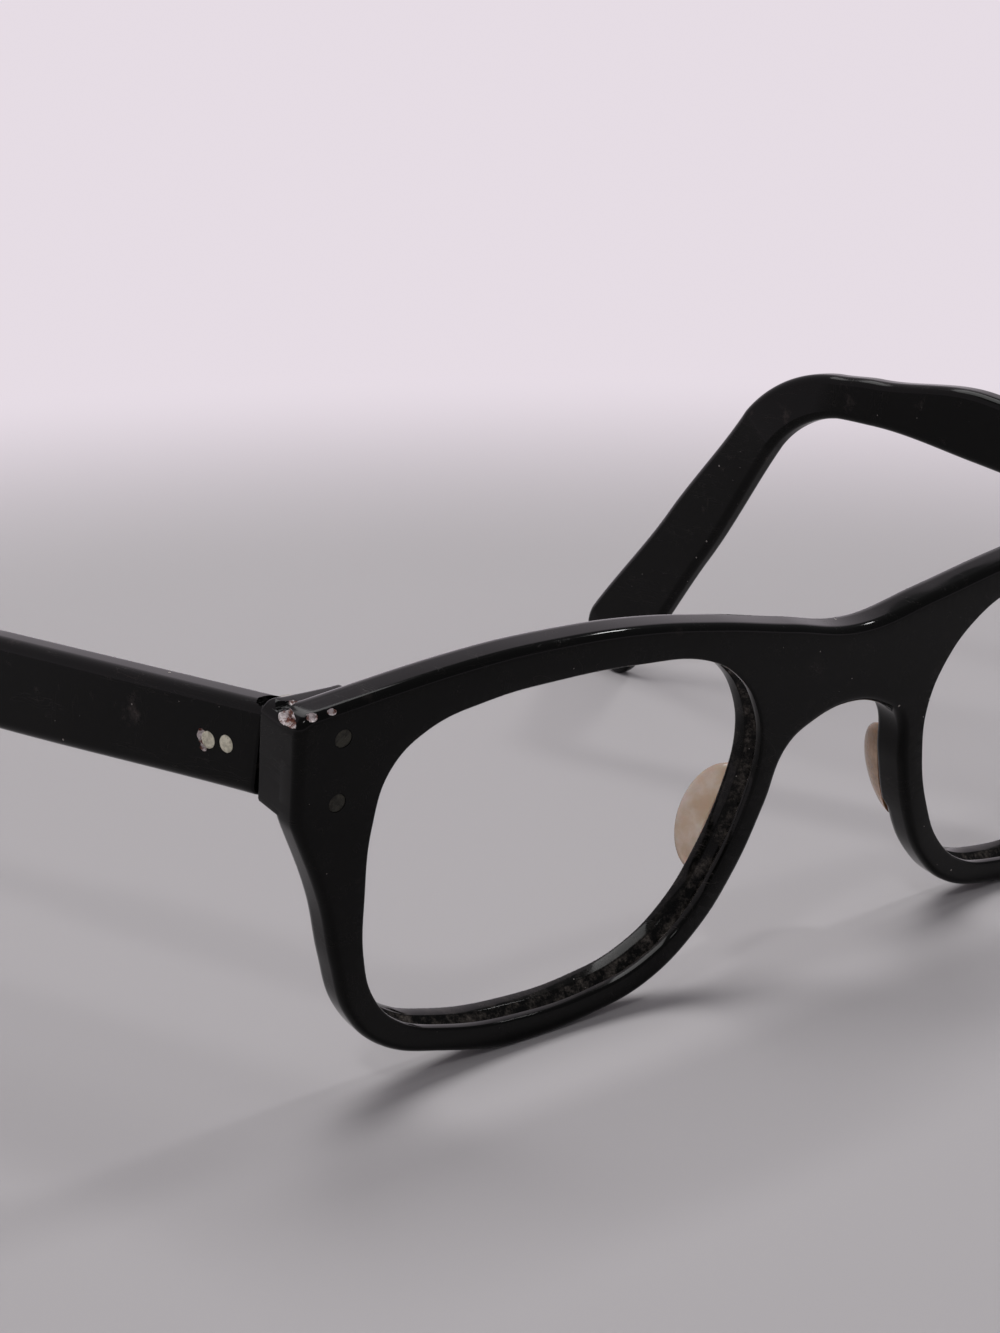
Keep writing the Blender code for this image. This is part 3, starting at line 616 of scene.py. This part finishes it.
def lifted(points, height):
    """Flat points at a height, or at a height each."""
    heights = np.broadcast_to(height, len(points))
    return [(x, y, z) for (x, y), z in zip(points, heights)]


def rounding(steps):
    """Inward and outward shares round a quarter circle, from the face to the wall."""
    turns = [k * pi / 2 / steps for k in range(steps + 1)]
    return [(1 - sin(turn), 1 - cos(turn)) for turn in turns]


def front_shape():
    """The sheet with its eased outer edge and its two grooved openings."""
    shape = bmesh.new()
    layer = shape.verts.layers.float.new("groove")
    outer = even_line(front_line(), OUTLINE_STEP, OUTLINE_SOFTNESS)
    normals = outward(outer)
    at_nose = (np.abs(outer[:, 0]) < NASAL_EDGE) & (outer[:, 1] < BRIDGE_UNDER)
    back_edge = np.where(at_nose, NOSE_EDGE, BACK_EDGE)
    rings = []
    for height, way, radius in ((FACE, -1, FACE_EDGE), (BACK, 1, back_edge)):
        room = room_inside(outer, OUTLINE_STEP, radius)
        side = [
            lifted(outer - normals * (room * inward)[:, None], height + way * room * drop)
            for inward, drop in rounding(EDGE_STEPS)
        ]
        rings += side if way < 0 else side[::-1]
    skin(shape, layer, rings)
    rim_lines = {height: [] for height in (FACE, BACK)}
    for tune in SIDES.values():
        opening = even_line(opening_line(tune["sign"]), OUTLINE_STEP, OUTLINE_SOFTNESS)
        off = outward(opening)
        profile, marks = groove_profile()
        skin(shape, layer, [lifted(opening + off * out, z) for out, z in profile], marks)
        rim_lines[FACE].append(opening + off * profile[0][0])
        rim_lines[BACK].append(opening + off * profile[-1][0])
    for height, ring in ((FACE, rings[0]), (BACK, rings[-1])):
        edge = np.array([point[:2] for point in ring])
        fill_face(shape, edge, rim_lines[height], height)
    bmesh.ops.remove_doubles(shape, verts=shape.verts, dist=WELD)
    bmesh.ops.recalc_face_normals(shape, faces=shape.faces)
    return shape


def block_shape(sign):
    """The thickening behind an endpiece, flush with its side and eased at its back."""
    top = ENDPIECE_TOP - BLOCK_BELOW_TOP
    bottom = ENDPIECE_TOP - ENDPIECE_HEIGHT + BLOCK_INSET
    outer, inner = HALF_SPAN - BLOCK_INSET, HALF_SPAN - BLOCK_WIDTH
    plan = [
        (outer, top - ENDPIECE_CORNER), (outer - ENDPIECE_CORNER, top), (inner, top),
        (inner, bottom), (outer - ENDPIECE_CORNER / 2, bottom),
    ]
    plan = np.array([(sign * x, y) for x, y in plan])
    line = even_line(plan, OUTLINE_STEP, OUTLINE_SOFTNESS / 2)
    normals = outward(line)
    outside = np.abs(line[:, 0]) > outer - ENDPIECE_CORNER / 2 - OUTLINE_STEP
    room = room_inside(line, OUTLINE_STEP, np.where(outside, END_EDGE, BLOCK_EDGE))
    rings = [
        lifted(line - normals * (room * inward)[:, None], END_BACK + room * drop)
        for inward, drop in rounding(EDGE_STEPS)
    ]
    rings.append(lifted(line, FACE - FACE_EDGE - BLOCK_INSET))
    shape = bmesh.new()
    layer = shape.verts.layers.float.new("groove")
    loops = skin(shape, layer, rings)
    shape.faces.new(loops[0])
    shape.faces.new(loops[-1])
    return shape


def groove_profile():
    """Steps from face to back over an opening's wall: how far out and how high, how dirty."""
    eased = [(OPENING_EDGE * a, OPENING_EDGE * b) for a, b in rounding(OPENING_EDGE_STEPS)]
    face_edge = [(inward, FACE - drop) for inward, drop in eased]
    back_edge = [(inward, BACK + drop) for inward, drop in eased[::-1]]
    top = FACE - GROOVE_FACE_LIP
    bottom = top - GROOVE_WIDTH
    middle = (top + bottom) / 2
    soft = GROOVE_SOFT
    groove = [
        (0.0, top + soft), (soft * 0.4, top), (soft * 1.6, top - soft),
        (GROOVE_DEPTH - soft, middle + soft), (GROOVE_DEPTH, middle),
        (GROOVE_DEPTH - soft, middle - soft), (soft * 1.6, bottom + soft),
        (soft * 0.4, bottom), (0.0, bottom - soft),
    ]
    marks = [0.0] * len(face_edge) + [LIP_DIRT] * 2 + [1.0] * (len(groove) - 4)
    marks += [LIP_DIRT] * (2 + len(back_edge))
    return face_edge + groove + back_edge, marks


def make_object(name, shape, materials, matrix=None):
    """A named object whose place is in its mesh."""
    mesh = bpy.data.meshes.new(name)
    if matrix is not None:
        bmesh.ops.transform(shape, matrix=matrix, verts=shape.verts)
    shape.to_mesh(mesh)
    shape.free()
    made = bpy.data.objects.new(name, mesh)
    bpy.context.scene.collection.objects.link(made)
    for material in materials:
        mesh.materials.append(material)
    return made


def box_shape(low, high):
    """A box between two corners, for cutting."""
    shape = bmesh.new()
    bmesh.ops.create_cube(shape, size=1.0)
    low, high = Vector(low), Vector(high)
    for vert in shape.verts:
        share = vert.co + Vector((0.5, 0.5, 0.5))
        vert.co = low + Vector(s * d for s, d in zip(share, high - low))
    return shape


def pin_shape(radius, low, high, turn, place):
    """A round bar between two heights, then turned and moved."""
    shape = bmesh.new()
    bmesh.ops.create_cone(
        shape, cap_ends=True, segments=ROUND_STEPS, radius1=radius, radius2=radius,
        depth=high - low, matrix=Matrix.Translation((0, 0, (low + high) / 2)),
    )
    bmesh.ops.transform(shape, matrix=Matrix.Translation(place) @ turn, verts=shape.verts)
    return shape


def lump_shape(place, size, seed):
    """A jagged lump, for breaking material away."""
    shape = bmesh.new()
    bmesh.ops.create_icosphere(shape, subdivisions=LUMP_DETAIL, radius=1.0)
    shift = Vector((seed * 7.3, seed * 3.1, seed * 5.7))
    for vert in shape.verts:
        coarse = noise.noise(vert.co * 1.7 + shift)
        facets = noise.cell(vert.co * 2.6 + shift) - 0.5
        fine = noise.noise(vert.co * 7.0 + shift)
        vert.co *= 1 + LUMP_ROUGHNESS * (coarse + 0.35 * facets + 0.3 * fine)
    for vert in shape.verts:
        vert.co = Vector(place) + Vector(a * b for a, b in zip(vert.co, size))
    return shape


def shape_up(piece, changes, matrix):
    """Join or cut a list of (operation, shape, material) to a piece, one by one."""
    tools = []
    for operation, shape, material in changes:
        bmesh.ops.recalc_face_normals(shape, faces=shape.faces)
        tool = make_object(f"{piece.name}_tool_{len(tools)}", shape, [material], matrix)
        change = piece.modifiers.new(tool.name, "BOOLEAN")
        change.object = tool
        change.operation = operation
        change.material_mode = "TRANSFER"
        tools.append(tool)
    apply_modifiers(piece)
    for tool in tools:
        bpy.data.objects.remove(tool, do_unlink=True)


def apply_modifiers(piece):
    """Put the mesh that the modifiers give in place of the piece's own."""
    view = bpy.context.evaluated_depsgraph_get()
    mesh = bpy.data.meshes.new_from_object(piece.evaluated_get(view))
    old = piece.data
    piece.modifiers.clear()
    piece.data = mesh
    mesh.name = piece.name
    bpy.data.meshes.remove(old)


def smooth(piece, angle):
    """Shade smoothly across edges flatter than an angle, with flat faces kept flat."""
    piece.data.shade_smooth()
    piece.data.set_sharp_from_angle(angle=radians(angle))
    even = piece.modifiers.new("even_normals", "WEIGHTED_NORMAL")
    even.keep_sharp = True
    even.weight = 70
    return piece


def settle(piece, body, nodes):
    """Let a piece stand for its solids."""
    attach(piece, body)
    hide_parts(*nodes)
    return piece


def rivet_places(sign):
    """The two rivets of an endpiece, upper first, in the front's own frame."""
    top = ENDPIECE_TOP - RIVET_BELOW_TOP
    return [Vector((sign * RIVET_X, top - step * RIVET_SPACING, 0)) for step in (0, 1)]


def temple_rivet_places():
    """How far behind the hinge axis a temple's two rivets lie."""
    return [TEMPLE_RIVET_FROM_AXIS + step * TEMPLE_RIVET_SPACING for step in (0, 1)]


def leaf_pocket(sign):
    """Where a hinge leaf is let into the front's back."""
    x = sign * RIVET_X
    wide, tall = FRONT_LEAF_WIDTH / 2 + FIT, FRONT_LEAF_HEIGHT / 2 + FIT
    low = (x - wide, LEAF_MIDDLE - tall, END_BACK - LEAF_THICKNESS)
    return box_shape(low, (x + wide, LEAF_MIDDLE + tall, END_BACK + LEAF_THICKNESS + FIT))


def front_damage(acetate, broken):
    """The snapped corner of the right endpiece and the nicks beside it."""
    corner = Vector((-HALF_SPAN, ENDPIECE_TOP, FACE))
    lumps = [
        ((-0.45, -0.62, -2.85), (1.30, 0.98, 2.60), 3, broken),
        ((0.80, 0.10, -4.10), (1.50, 1.25, 1.30), 14, acetate),
        # The two small breaks at the notch's ends carry the broken finish so that its painted
        # highlights give the glints seen there.
        ((-0.30, -0.45, -4.55), (0.75, 0.60, 0.65), 16, broken),
        ((2.10, -0.45, -4.00), (0.55, 0.40, 0.60), 17, broken),
        ((0.45, -0.15, -0.30), (0.34, 0.50, 0.52), 5, broken),
        ((1.45, -0.05, -0.30), (0.58, 0.46, 0.55), 8, broken),
        ((3.40, 0.02, -0.22), (0.46, 0.30, 0.42), 11, broken),
    ]
    changes = []
    for place, size, seed, inside_finish in lumps:
        place = corner + Vector(place) * MM
        shape = lump_shape(place, Vector(size) * MM, seed)
        changes.append(("DIFFERENCE", shape, inside_finish))
    return changes


def make_front(acetate, broken):
    """The front with its end blocks, damage, leaf pockets and rivet holes."""
    front = make_object("front_acetate", front_shape(), [acetate], FRONT)
    changes = [("UNION", block_shape(tune["sign"]), acetate) for tune in SIDES.values()]
    changes += front_damage(acetate, broken)
    for tune in SIDES.values():
        changes.append(("DIFFERENCE", leaf_pocket(tune["sign"]), acetate))
        for place in rivet_places(tune["sign"]):
            end = END_BACK + LEAF_THICKNESS / 2
            drill = pin_shape(RIVET_RADIUS + FIT, end, 2 * FACE, Matrix.Identity(4), place)
            changes.append(("DIFFERENCE", drill, acetate))
    shape_up(front, changes, FRONT)
    return settle(smooth(front, ACETATE_CREASE), "front_body", ["front"])


def ease(table, share):
    """A smooth value between the entries of a table of (share, value)."""
    for (left, low), (right, high) in zip(table, table[1:]):
        if share <= right:
            part = max(0.0, (share - left) / (right - left))
            return low + (high - low) * part * part * (3 - 2 * part)
    return table[-1][1]


def direction(angle):
    """Unit vector along the temple (back, up) at an angle above level."""
    return Vector((cos(angle), sin(angle)))


def temple_stations(tune, fall, fine):
    """Middle point, direction, height, thickness and inset along one temple.

    Each step of the solid is split into as many as fine says.
    """
    stations = []
    narrow = HEIGHTS_STRAIGHT[-1][1]
    widest, tallest = HEIGHTS_STRAIGHT[1]
    steps = SOLID_STEPS * fine
    length = TEMPLE_STRAIGHT + TEMPLE_START
    # The solid's long steps turn half a step late, and the fine ones follow it.
    lag = length * (1 / SOLID_STEPS - 1 / steps) / 2 / TEMPLE_STRAIGHT
    guide = Vector((0, HEIGHTS_STRAIGHT[0][1] / 2)) - direction(tune["rise"] + pi / 2) * narrow / 2
    guide -= direction(tune["rise"]) * TEMPLE_START
    for step in range(steps + 1):
        share = max(0.0, (step * length / steps - TEMPLE_START) / TEMPLE_STRAIGHT)
        angle = tune["rise"] - tune["bow"] * share ** 2
        height = ease(HEIGHTS_STRAIGHT, share)
        taper = TOP_TAPER * (tallest - height) if share > widest else 0.0
        thick = THICKNESS_HINGE + (THICKNESS_BEND - THICKNESS_HINGE) * share
        over = direction(angle + pi / 2)
        middle = guide + over * ((narrow - height) / 2 - taper)
        stations.append((middle, direction(angle), height, thick, tune["inward"] * share ** 2))
        ahead = direction(tune["rise"] - tune["bow"] * max(0.0, share - lag) ** 2)
        guide = guide + ahead * length / steps
    # Round the bend
    centre = middle - over * BEND_RADIUS
    slant = 2 * tune["inward"] / TEMPLE_STRAIGHT
    for step in range(1, BEND_STEPS * fine + 1):
        share = step / (BEND_STEPS * fine)
        heading = direction(angle - (angle + fall) * share)
        height = narrow + (HEIGHTS_DROP[0][1] - narrow) * share
        place = centre + Vector((-heading.y, heading.x)) * BEND_RADIUS
        turned = tune["inward"] + slant * (place.x - middle.x)
        stations.append((place, heading, height, THICKNESS_BEND, turned))
    # Down the ear piece
    start = place
    body = TEMPLE_DROP - TIP_ROUNDING
    for step in range(1, DROP_STEPS * fine + 1):
        share = step / (DROP_STEPS * fine)
        place = start + heading * body * share
        thick = THICKNESS_BEND + (THICKNESS_TIP - THICKNESS_BEND) * share
        inset = turned + TEMPLE_INSET * share ** 2
        stations.append((place, heading, ease(HEIGHTS_DROP, share), thick, inset))
    # Round the tip
    for step in range(1, TIP_STEPS * fine + 1):
        share = step / (TIP_STEPS * fine)
        turn = share * TIP_TURN
        place = start + heading * (body + TIP_ROUNDING * sin(turn))
        height = HEIGHTS_DROP[-1][1] * cos(turn) ** TIP_BLUNTNESS
        thick = THICKNESS_TIP * (1 - TIP_THINNING * share ** 2)
        stations.append((place, heading, height, thick, inset))
    return stations


def section(height, thick, inset=0.0):
    """Points round a rectangle with eased corners, as (across, up) pairs."""
    height, thick = height - 2 * inset, thick - 2 * inset
    fitting = min(TEMPLE_CORNER, height * CORNER_SHARE, thick * CORNER_SHARE)
    corner = max(LEAST_CORNER, fitting - inset)
    points = []
    for quarter, (right, top) in enumerate(((1, 1), (-1, 1), (-1, -1), (1, -1))):
        middle = (right * (thick / 2 - corner), top * (height / 2 - corner))
        for step in range(SECTION_STEPS + 1):
            turn = (quarter + step / SECTION_STEPS) * pi / 2
            points.append((middle[0] + corner * cos(turn), middle[1] + corner * sin(turn)))
    return points


def ring_of(sign, station, inset=0.0):
    """The temple's section at a station, in the temple's frame."""
    middle, heading, height, thick, shift = station
    up = Vector((-heading.y, heading.x))
    across = AXIS_TO_OUTER - thick / 2 - shift
    ring = []
    for side, over in section(height, thick, inset):
        place = middle + up * over
        ring.append(Vector((sign * (across + side), place.x, place.y)))
    return ring


def lowest(tune, fall):
    """The height of a temple's lowest point over its hinge's middle."""
    stations = temple_stations(tune, fall, COARSE)
    return min(point.z for station in stations for point in ring_of(tune["sign"], station))


def fall_to_table(tune):
    """The angle of the ear piece that sets the tip on the table."""
    shallow, steep = FALL_RANGE
    for _ in range(FALL_HALVINGS):
        fall = (shallow + steep) / 2
        if lowest(tune, fall) > -HINGE_HEIGHT:
            shallow = fall
        else:
            steep = fall
    return shallow


def end_plane(side):
    """A point and the normal of the temple's front end, in the temple's frame."""
    back = FRONT @ Vector((0, 0, END_BACK - GAP))
    normal = FRONT.to_3x3() @ Vector((0, 0, -1))
    inverse = temple_matrix(side).inverted()
    return inverse @ back, inverse.to_3x3() @ normal


def temple_shape(side):
    """One temple, its slanted front end eased all round."""
    tune = SIDES[side]
    sign = tune["sign"]
    stations = temple_stations(tune, fall_to_table(tune), FINE)
    point, normal = end_plane(side)
    first = stations[0]
    heading = Vector((0, first[1].x, first[1].y))

    def end_ring(inset, back):
        """The first section slid along the temple on to its slanted end."""
        ring = []
        for place in ring_of(sign, first, inset):
            slide = (point - place).dot(normal) / heading.dot(normal)
            ring.append(place + heading * (slide + back))
        return ring

    eased = rounding(END_EDGE_STEPS)
    rings = [end_ring(END_EDGE * inward, END_EDGE * drop) for inward, drop in eased]
    reach = max(place.y for place in rings[-1]) + END_EDGE
    for station in stations:
        ring = ring_of(sign, station)
        if min(place.y for place in ring) > reach:
            rings.append(ring)
    shape = bmesh.new()
    layer = shape.verts.layers.float.new("groove")
    loops = skin(shape, layer, rings)
    shape.faces.new(loops[0])
    shape.faces.new(loops[-1])
    bmesh.ops.recalc_face_normals(shape, faces=shape.faces)
    return shape


def across_pin(sign, radius, start, end, along):
    """A bar across the temple at a distance behind the axis."""
    turn = Matrix.Rotation(sign * pi / 2, 4, "Y")
    return pin_shape(radius, start, end, turn, (0, along, 0))


def temple_damage(side, acetate, broken):
    """Acetate broken out round the rear rivet and off the top of the right temple's end."""
    if side == "left":
        return []
    sign = SIDES[side]["sign"]
    rear = temple_rivet_places()[1]
    outer = sign * (AXIS_TO_OUTER + BREAK_STANDS_OUT)
    top = HEIGHTS_STRAIGHT[0][1] / 2
    lumps = [
        (Vector((outer, rear + 0.72 * MM, 0.25 * MM)), (0.42, 0.62, 0.80), 4, broken),
        (Vector((outer, rear + 0.55 * MM, -0.75 * MM)), (0.36, 0.45, 0.42), 9, broken),
        (Vector((sign * 3.4 * MM, -0.9 * MM, top)), (1.35, 1.0, 0.95), 6, acetate),
    ]
    return [
        ("DIFFERENCE", lump_shape(place, Vector(size) * MM, seed), finish)
        for place, size, seed, finish in lumps
    ]


def temple_pocket(sign):
    """Where the hinge leaf is let into the temple's inner side."""
    tall = TEMPLE_LEAF_HEIGHT / 2 + FIT
    start = BARREL_RADIUS - 2 * GAP
    near, far = sign * GAP, sign * (AXIS_TO_INNER + LEAF_THICKNESS + FIT)
    low = (min(near, far), start, -tall)
    return box_shape(low, (max(near, far), start + TEMPLE_LEAF_LENGTH + GAP + FIT, tall))


def make_temple(side, acetate, broken):
    """A temple with its damage, leaf pocket and rivet holes."""
    sign = SIDES[side]["sign"]
    matrix = temple_matrix(side)
    temple = make_object("temple_acetate_" + side, temple_shape(side), [acetate], matrix)
    changes = temple_damage(side, acetate, broken)
    changes.append(("DIFFERENCE", temple_pocket(sign), acetate))
    for along in temple_rivet_places():
        start = AXIS_TO_INNER + LEAF_THICKNESS * 1.5
        drill = across_pin(sign, TEMPLE_RIVET_RADIUS + FIT, start, 2 * AXIS_TO_OUTER, along)
        changes.append(("DIFFERENCE", drill, acetate))
    shape_up(temple, changes, matrix)
    smooth(temple, ACETATE_CREASE)
    return settle(temple, side + "_temple_body", ["temple_" + side])


def button_shape(radius, low, high):
    """A pin whose end is slightly domed, turned from a profile."""
    profile = [(0.0, low), (radius, low)]
    for step in range(DOME_STEPS + 1):
        turn = step / DOME_STEPS * pi / 2
        profile.append((radius * cos(turn), high - RIVET_DOME + RIVET_DOME * sin(turn)))
    shape = bmesh.new()
    line = [shape.verts.new((x, 0, z)) for x, z in profile]
    edges = [shape.edges.new(pair) for pair in zip(line, line[1:])]
    bmesh.ops.spin(
        shape, geom=line + edges, cent=(0, 0, 0), axis=(0, 0, 1), angle=2 * pi, steps=ROUND_STEPS,
        use_merge=True,
    )
    bmesh.ops.remove_doubles(shape, verts=shape.verts, dist=WELD)
    bmesh.ops.recalc_face_normals(shape, faces=shape.faces)
    return shape


def make_rivets(painted_shade_rivets, pale):
    """Rivets through the endpieces, painted near black as shade, and pale ones through the
    temples.
    """
    for side, tune in SIDES.items():
        sign = tune["sign"]
        for level, place in zip(("upper", "lower"), rivet_places(sign)):
            shape = button_shape(RIVET_RADIUS, END_BACK + LEAF_THICKNESS / 2, FACE)
            matrix = FRONT @ Matrix.Translation(place)
            pin = make_object(f"front_pin_{side}_{level}", shape, [painted_shade_rivets], matrix)
            node = f"front_rivet_{side}_{level}"
            settle(smooth(pin, SMALL_CREASE), "front_body", [node])
        for end, along in zip(("front", "rear"), temple_rivet_places()):
            low, high = AXIS_TO_INNER + LEAF_THICKNESS / 2, AXIS_TO_OUTER
            shape = button_shape(TEMPLE_RIVET_RADIUS, low, high)
            turn = Matrix.Rotation(sign * pi / 2, 4, "Y")
            matrix = temple_matrix(side) @ Matrix.Translation((0, along, 0)) @ turn
            pin = make_object(f"temple_pin_{side}_{end}", shape, [pale], matrix)
            node = f"temple_rivet_{side}_{end}"
            settle(smooth(pin, SMALL_CREASE), side + "_temple_body", [node])


def pad_shape(sign):
    """Half of a lens-shaped pad, cut where it meets the back of the rim."""
    shape = bmesh.new()
    bmesh.ops.create_uvsphere(shape, u_segments=64, v_segments=40, radius=1.0)
    size = Vector((PAD_THICKNESS / 2, PAD_LENGTH / 2, PAD_DEPTH))
    flare = Matrix.Rotation(-sign * PAD_FLARE, 3, "Y")
    lean = Matrix.Rotation(sign * PAD_LEAN, 3, "Z")
    for vert in shape.verts:
        vert.co = lean @ flare @ Vector(a * b for a, b in zip(vert.co, size))
    cut = bmesh.ops.bisect_plane(
        shape, geom=shape.verts[:] + shape.edges[:] + shape.faces[:],
        plane_co=(0, 0, 0), plane_no=(0, 0, 1), clear_outer=True,
    )
    rim = [item for item in cut["geom_cut"] if isinstance(item, bmesh.types.BMEdge)]
    bmesh.ops.contextual_create(shape, geom=rim)
    bmesh.ops.recalc_face_normals(shape, faces=shape.faces)
    return shape


PAD_TINTS = {
    "right": ((0.76, 0.58, 0.42), (0.90, 0.77, 0.65)),
    "left": ((0.36, 0.20, 0.09), (0.55, 0.36, 0.21)),
}


def make_pads():
    """The left pad is tinted a deeper amber than the right one."""
    for side, tune in SIDES.items():
        amber = pad_acetate("pad_acetate_" + side, *PAD_TINTS[side])
        sign = tune["sign"]
        middle = Vector((0, 0))
        for index in PAD_INDEXES:
            middle += (lens_point(index) + rim_point(index)) / (2 * len(PAD_INDEXES))
        place = Matrix.Translation((sign * middle.x, middle.y, BACK - FIT))
        pad = make_object("pad_" + side, pad_shape(sign), [amber], FRONT @ place)
        settle(smooth(pad, SMALL_CREASE), "front_body", ["nose_pad_" + side])


def make_hinges(metal):
    """The solids' own hinges, with worn metal on them."""
    for side in SIDES:
        for name in ("front_hinge_", "temple_hinge_", "hinge_screw_"):
            node = frame["nodes"][name + side]
            for slot in node.material_slots:
                slot.material = metal


PAPER_TINTS = ((0.50, 0.475, 0.485), (0.54, 0.515, 0.525))
BACKGROUND = (0.79, 0.72, 0.78, 1.0)
BACKGROUND_FROM, BACKGROUND_FULL = 150.0, 400.0  # millimetres from the origin


def stage_paper():
    """Pale paper, whose far part shows as a plain pale background."""
    paint = Paint("stage_paper")
    places = paint.places()
    tint = paint.noise(places, 0.004, 2.0).between(0.2, 0.8)
    paper = paint.mix(tint, *PAPER_TINTS)
    away = paint.node("ShaderNodeVectorMath", {"operation": "LENGTH"}, {0: places}, "Value")
    far = away.between(BACKGROUND_FROM, BACKGROUND_FULL)
    seen = paint.node("ShaderNodeLightPath", output="Is Camera Ray")
    for ray in ("Is Glossy Ray", "Is Transmission Ray"):
        seen = seen + paint.node("ShaderNodeLightPath", output=ray)
    matt = paint.shader
    matt.inputs["Roughness"].default_value = 0.7
    paint.tree.links.new(paper.socket, matt.inputs["Base Color"])
    glow = paint.node("ShaderNodeEmission", None, {"Color": BACKGROUND})
    both = paint.node("ShaderNodeMixShader", None, {0: far * seen})
    blend = both.socket.node
    paint.tree.links.new(matt.outputs[0], blend.inputs[1])
    paint.tree.links.new(glow.socket, blend.inputs[2])
    paint.tree.links.new(both.socket, paint.tree.nodes["Material Output"].inputs["Surface"])
    return paint.material


def make_stage():
    """A pale floor that curves up into a backdrop."""
    wide, deep, near, high, bend, steps = 3.0, 0.55, -4.0, 1.6, 0.35, 16
    turns = [k * pi / 2 / steps for k in range(steps + 1)]
    profile = [(deep + bend * sin(turn), bend * (1 - cos(turn))) for turn in turns]
    profile = [(near, 0.0), *profile, (deep + bend, high)]
    shape = bmesh.new()
    rows = [[shape.verts.new((x, y, z)) for x in (-wide, wide)] for y, z in profile]
    for low, top in zip(rows, rows[1:]):
        shape.faces.new((low[0], low[1], top[1], top[0]))
    floor = make_object("stage_floor", shape, [stage_paper()])
    floor.data.shade_smooth()


def add_lamp(name, place, target, size, power):
    lamp = bpy.data.lights.new(name, "AREA")
    lamp.shape = "RECTANGLE"
    lamp.size, lamp.size_y = size
    lamp.energy = power
    made = bpy.data.objects.new(name, lamp)
    made.location = place
    made.rotation_euler = (Vector(target) - Vector(place)).to_track_quat("-Z", "Y").to_euler()
    bpy.context.scene.collection.objects.link(made)


def light_scene():
    """Soft studio light: a broad lamp overhead, two small ones for the edges' highlights."""
    world = bpy.data.worlds.new("studio")
    bpy.context.scene.world = world
    world.use_nodes = True
    ground = world.node_tree.nodes["Background"]
    ground.inputs["Color"].default_value = (0.96, 0.94, 1.0, 1.0)
    ground.inputs["Strength"].default_value = 0.25
    add_lamp("overhead", (0.0, 0.25, 0.75), (0, 0.05, 0), (0.6, 0.4), 3.2)
    add_lamp("camera_side", (-0.42, -0.35, 0.55), (0, 0, 0.02), (0.08, 0.06), 0.5)
    add_lamp("edge_light", (0.42, -0.10, 0.50), (0, -0.04, 0.02), (0.07, 0.05), 0.5)
    add_lamp("back_wall", (0.1, 0.35, 0.45), (0.1, 0.95, 0.45), (0.8, 0.4), 1.2)


CAMERA_PLACE = (-0.165923, -0.226197, 0.096833)
CAMERA_YAW = radians(37.8)
CAMERA_PITCH = radians(14.71)
CAMERA_ROLL = radians(-1.15)
FOCAL_PIXELS = 2500
PICTURE_HEIGHT = 1333
SENSOR = 24.0


def add_camera():
    """The camera at the photograph's place, from its heading, dip and roll."""
    ahead = Vector((
        sin(CAMERA_YAW) * cos(CAMERA_PITCH), cos(CAMERA_YAW) * cos(CAMERA_PITCH),
        -sin(CAMERA_PITCH),
    ))
    right = Vector((cos(CAMERA_YAW), -sin(CAMERA_YAW), 0))
    over = right.cross(ahead)
    x_axis = cos(CAMERA_ROLL) * right + sin(CAMERA_ROLL) * over
    y_axis = cos(CAMERA_ROLL) * over - sin(CAMERA_ROLL) * right
    turned = Matrix((x_axis, y_axis, -ahead)).transposed()
    data = bpy.data.cameras.new("camera")
    data.sensor_fit = "VERTICAL"
    data.sensor_height = SENSOR
    data.sensor_width = SENSOR
    data.lens = FOCAL_PIXELS / PICTURE_HEIGHT * SENSOR
    data.clip_start = 0.01
    camera = bpy.data.objects.new("camera", data)
    camera.matrix_world = Matrix.Translation(CAMERA_PLACE) @ turned.to_4x4()
    bpy.context.scene.collection.objects.link(camera)
    bpy.context.scene.camera = camera


def main():
    bpy.context.scene.view_settings.view_transform = "Standard"
    broken = broken_acetate()
    make_front(black_acetate("front_black", 0.25, 0.2), broken)
    for side in SIDES:
        make_temple(side, black_acetate("temple_black_" + side, 1.0, 0.1), broken)
    # Painted shade: the endpiece rivets' near-black colours stand for the shadow they lie in.
    painted_shade_rivets = rivet_metal("rivet_ends_painted_shade", (0.030, 0.028, 0.018), (0.012, 0.011, 0.007), 0.4)
    pale = rivet_metal("rivet_ends_pale", (0.86, 0.82, 0.66), (0.48, 0.45, 0.34), 0.2)
    make_rivets(painted_shade_rivets, pale)
    make_pads()
    make_hinges(hinge_metal())
    make_stage()
    light_scene()
    add_camera()
    bpy.context.view_layer.update()


main()
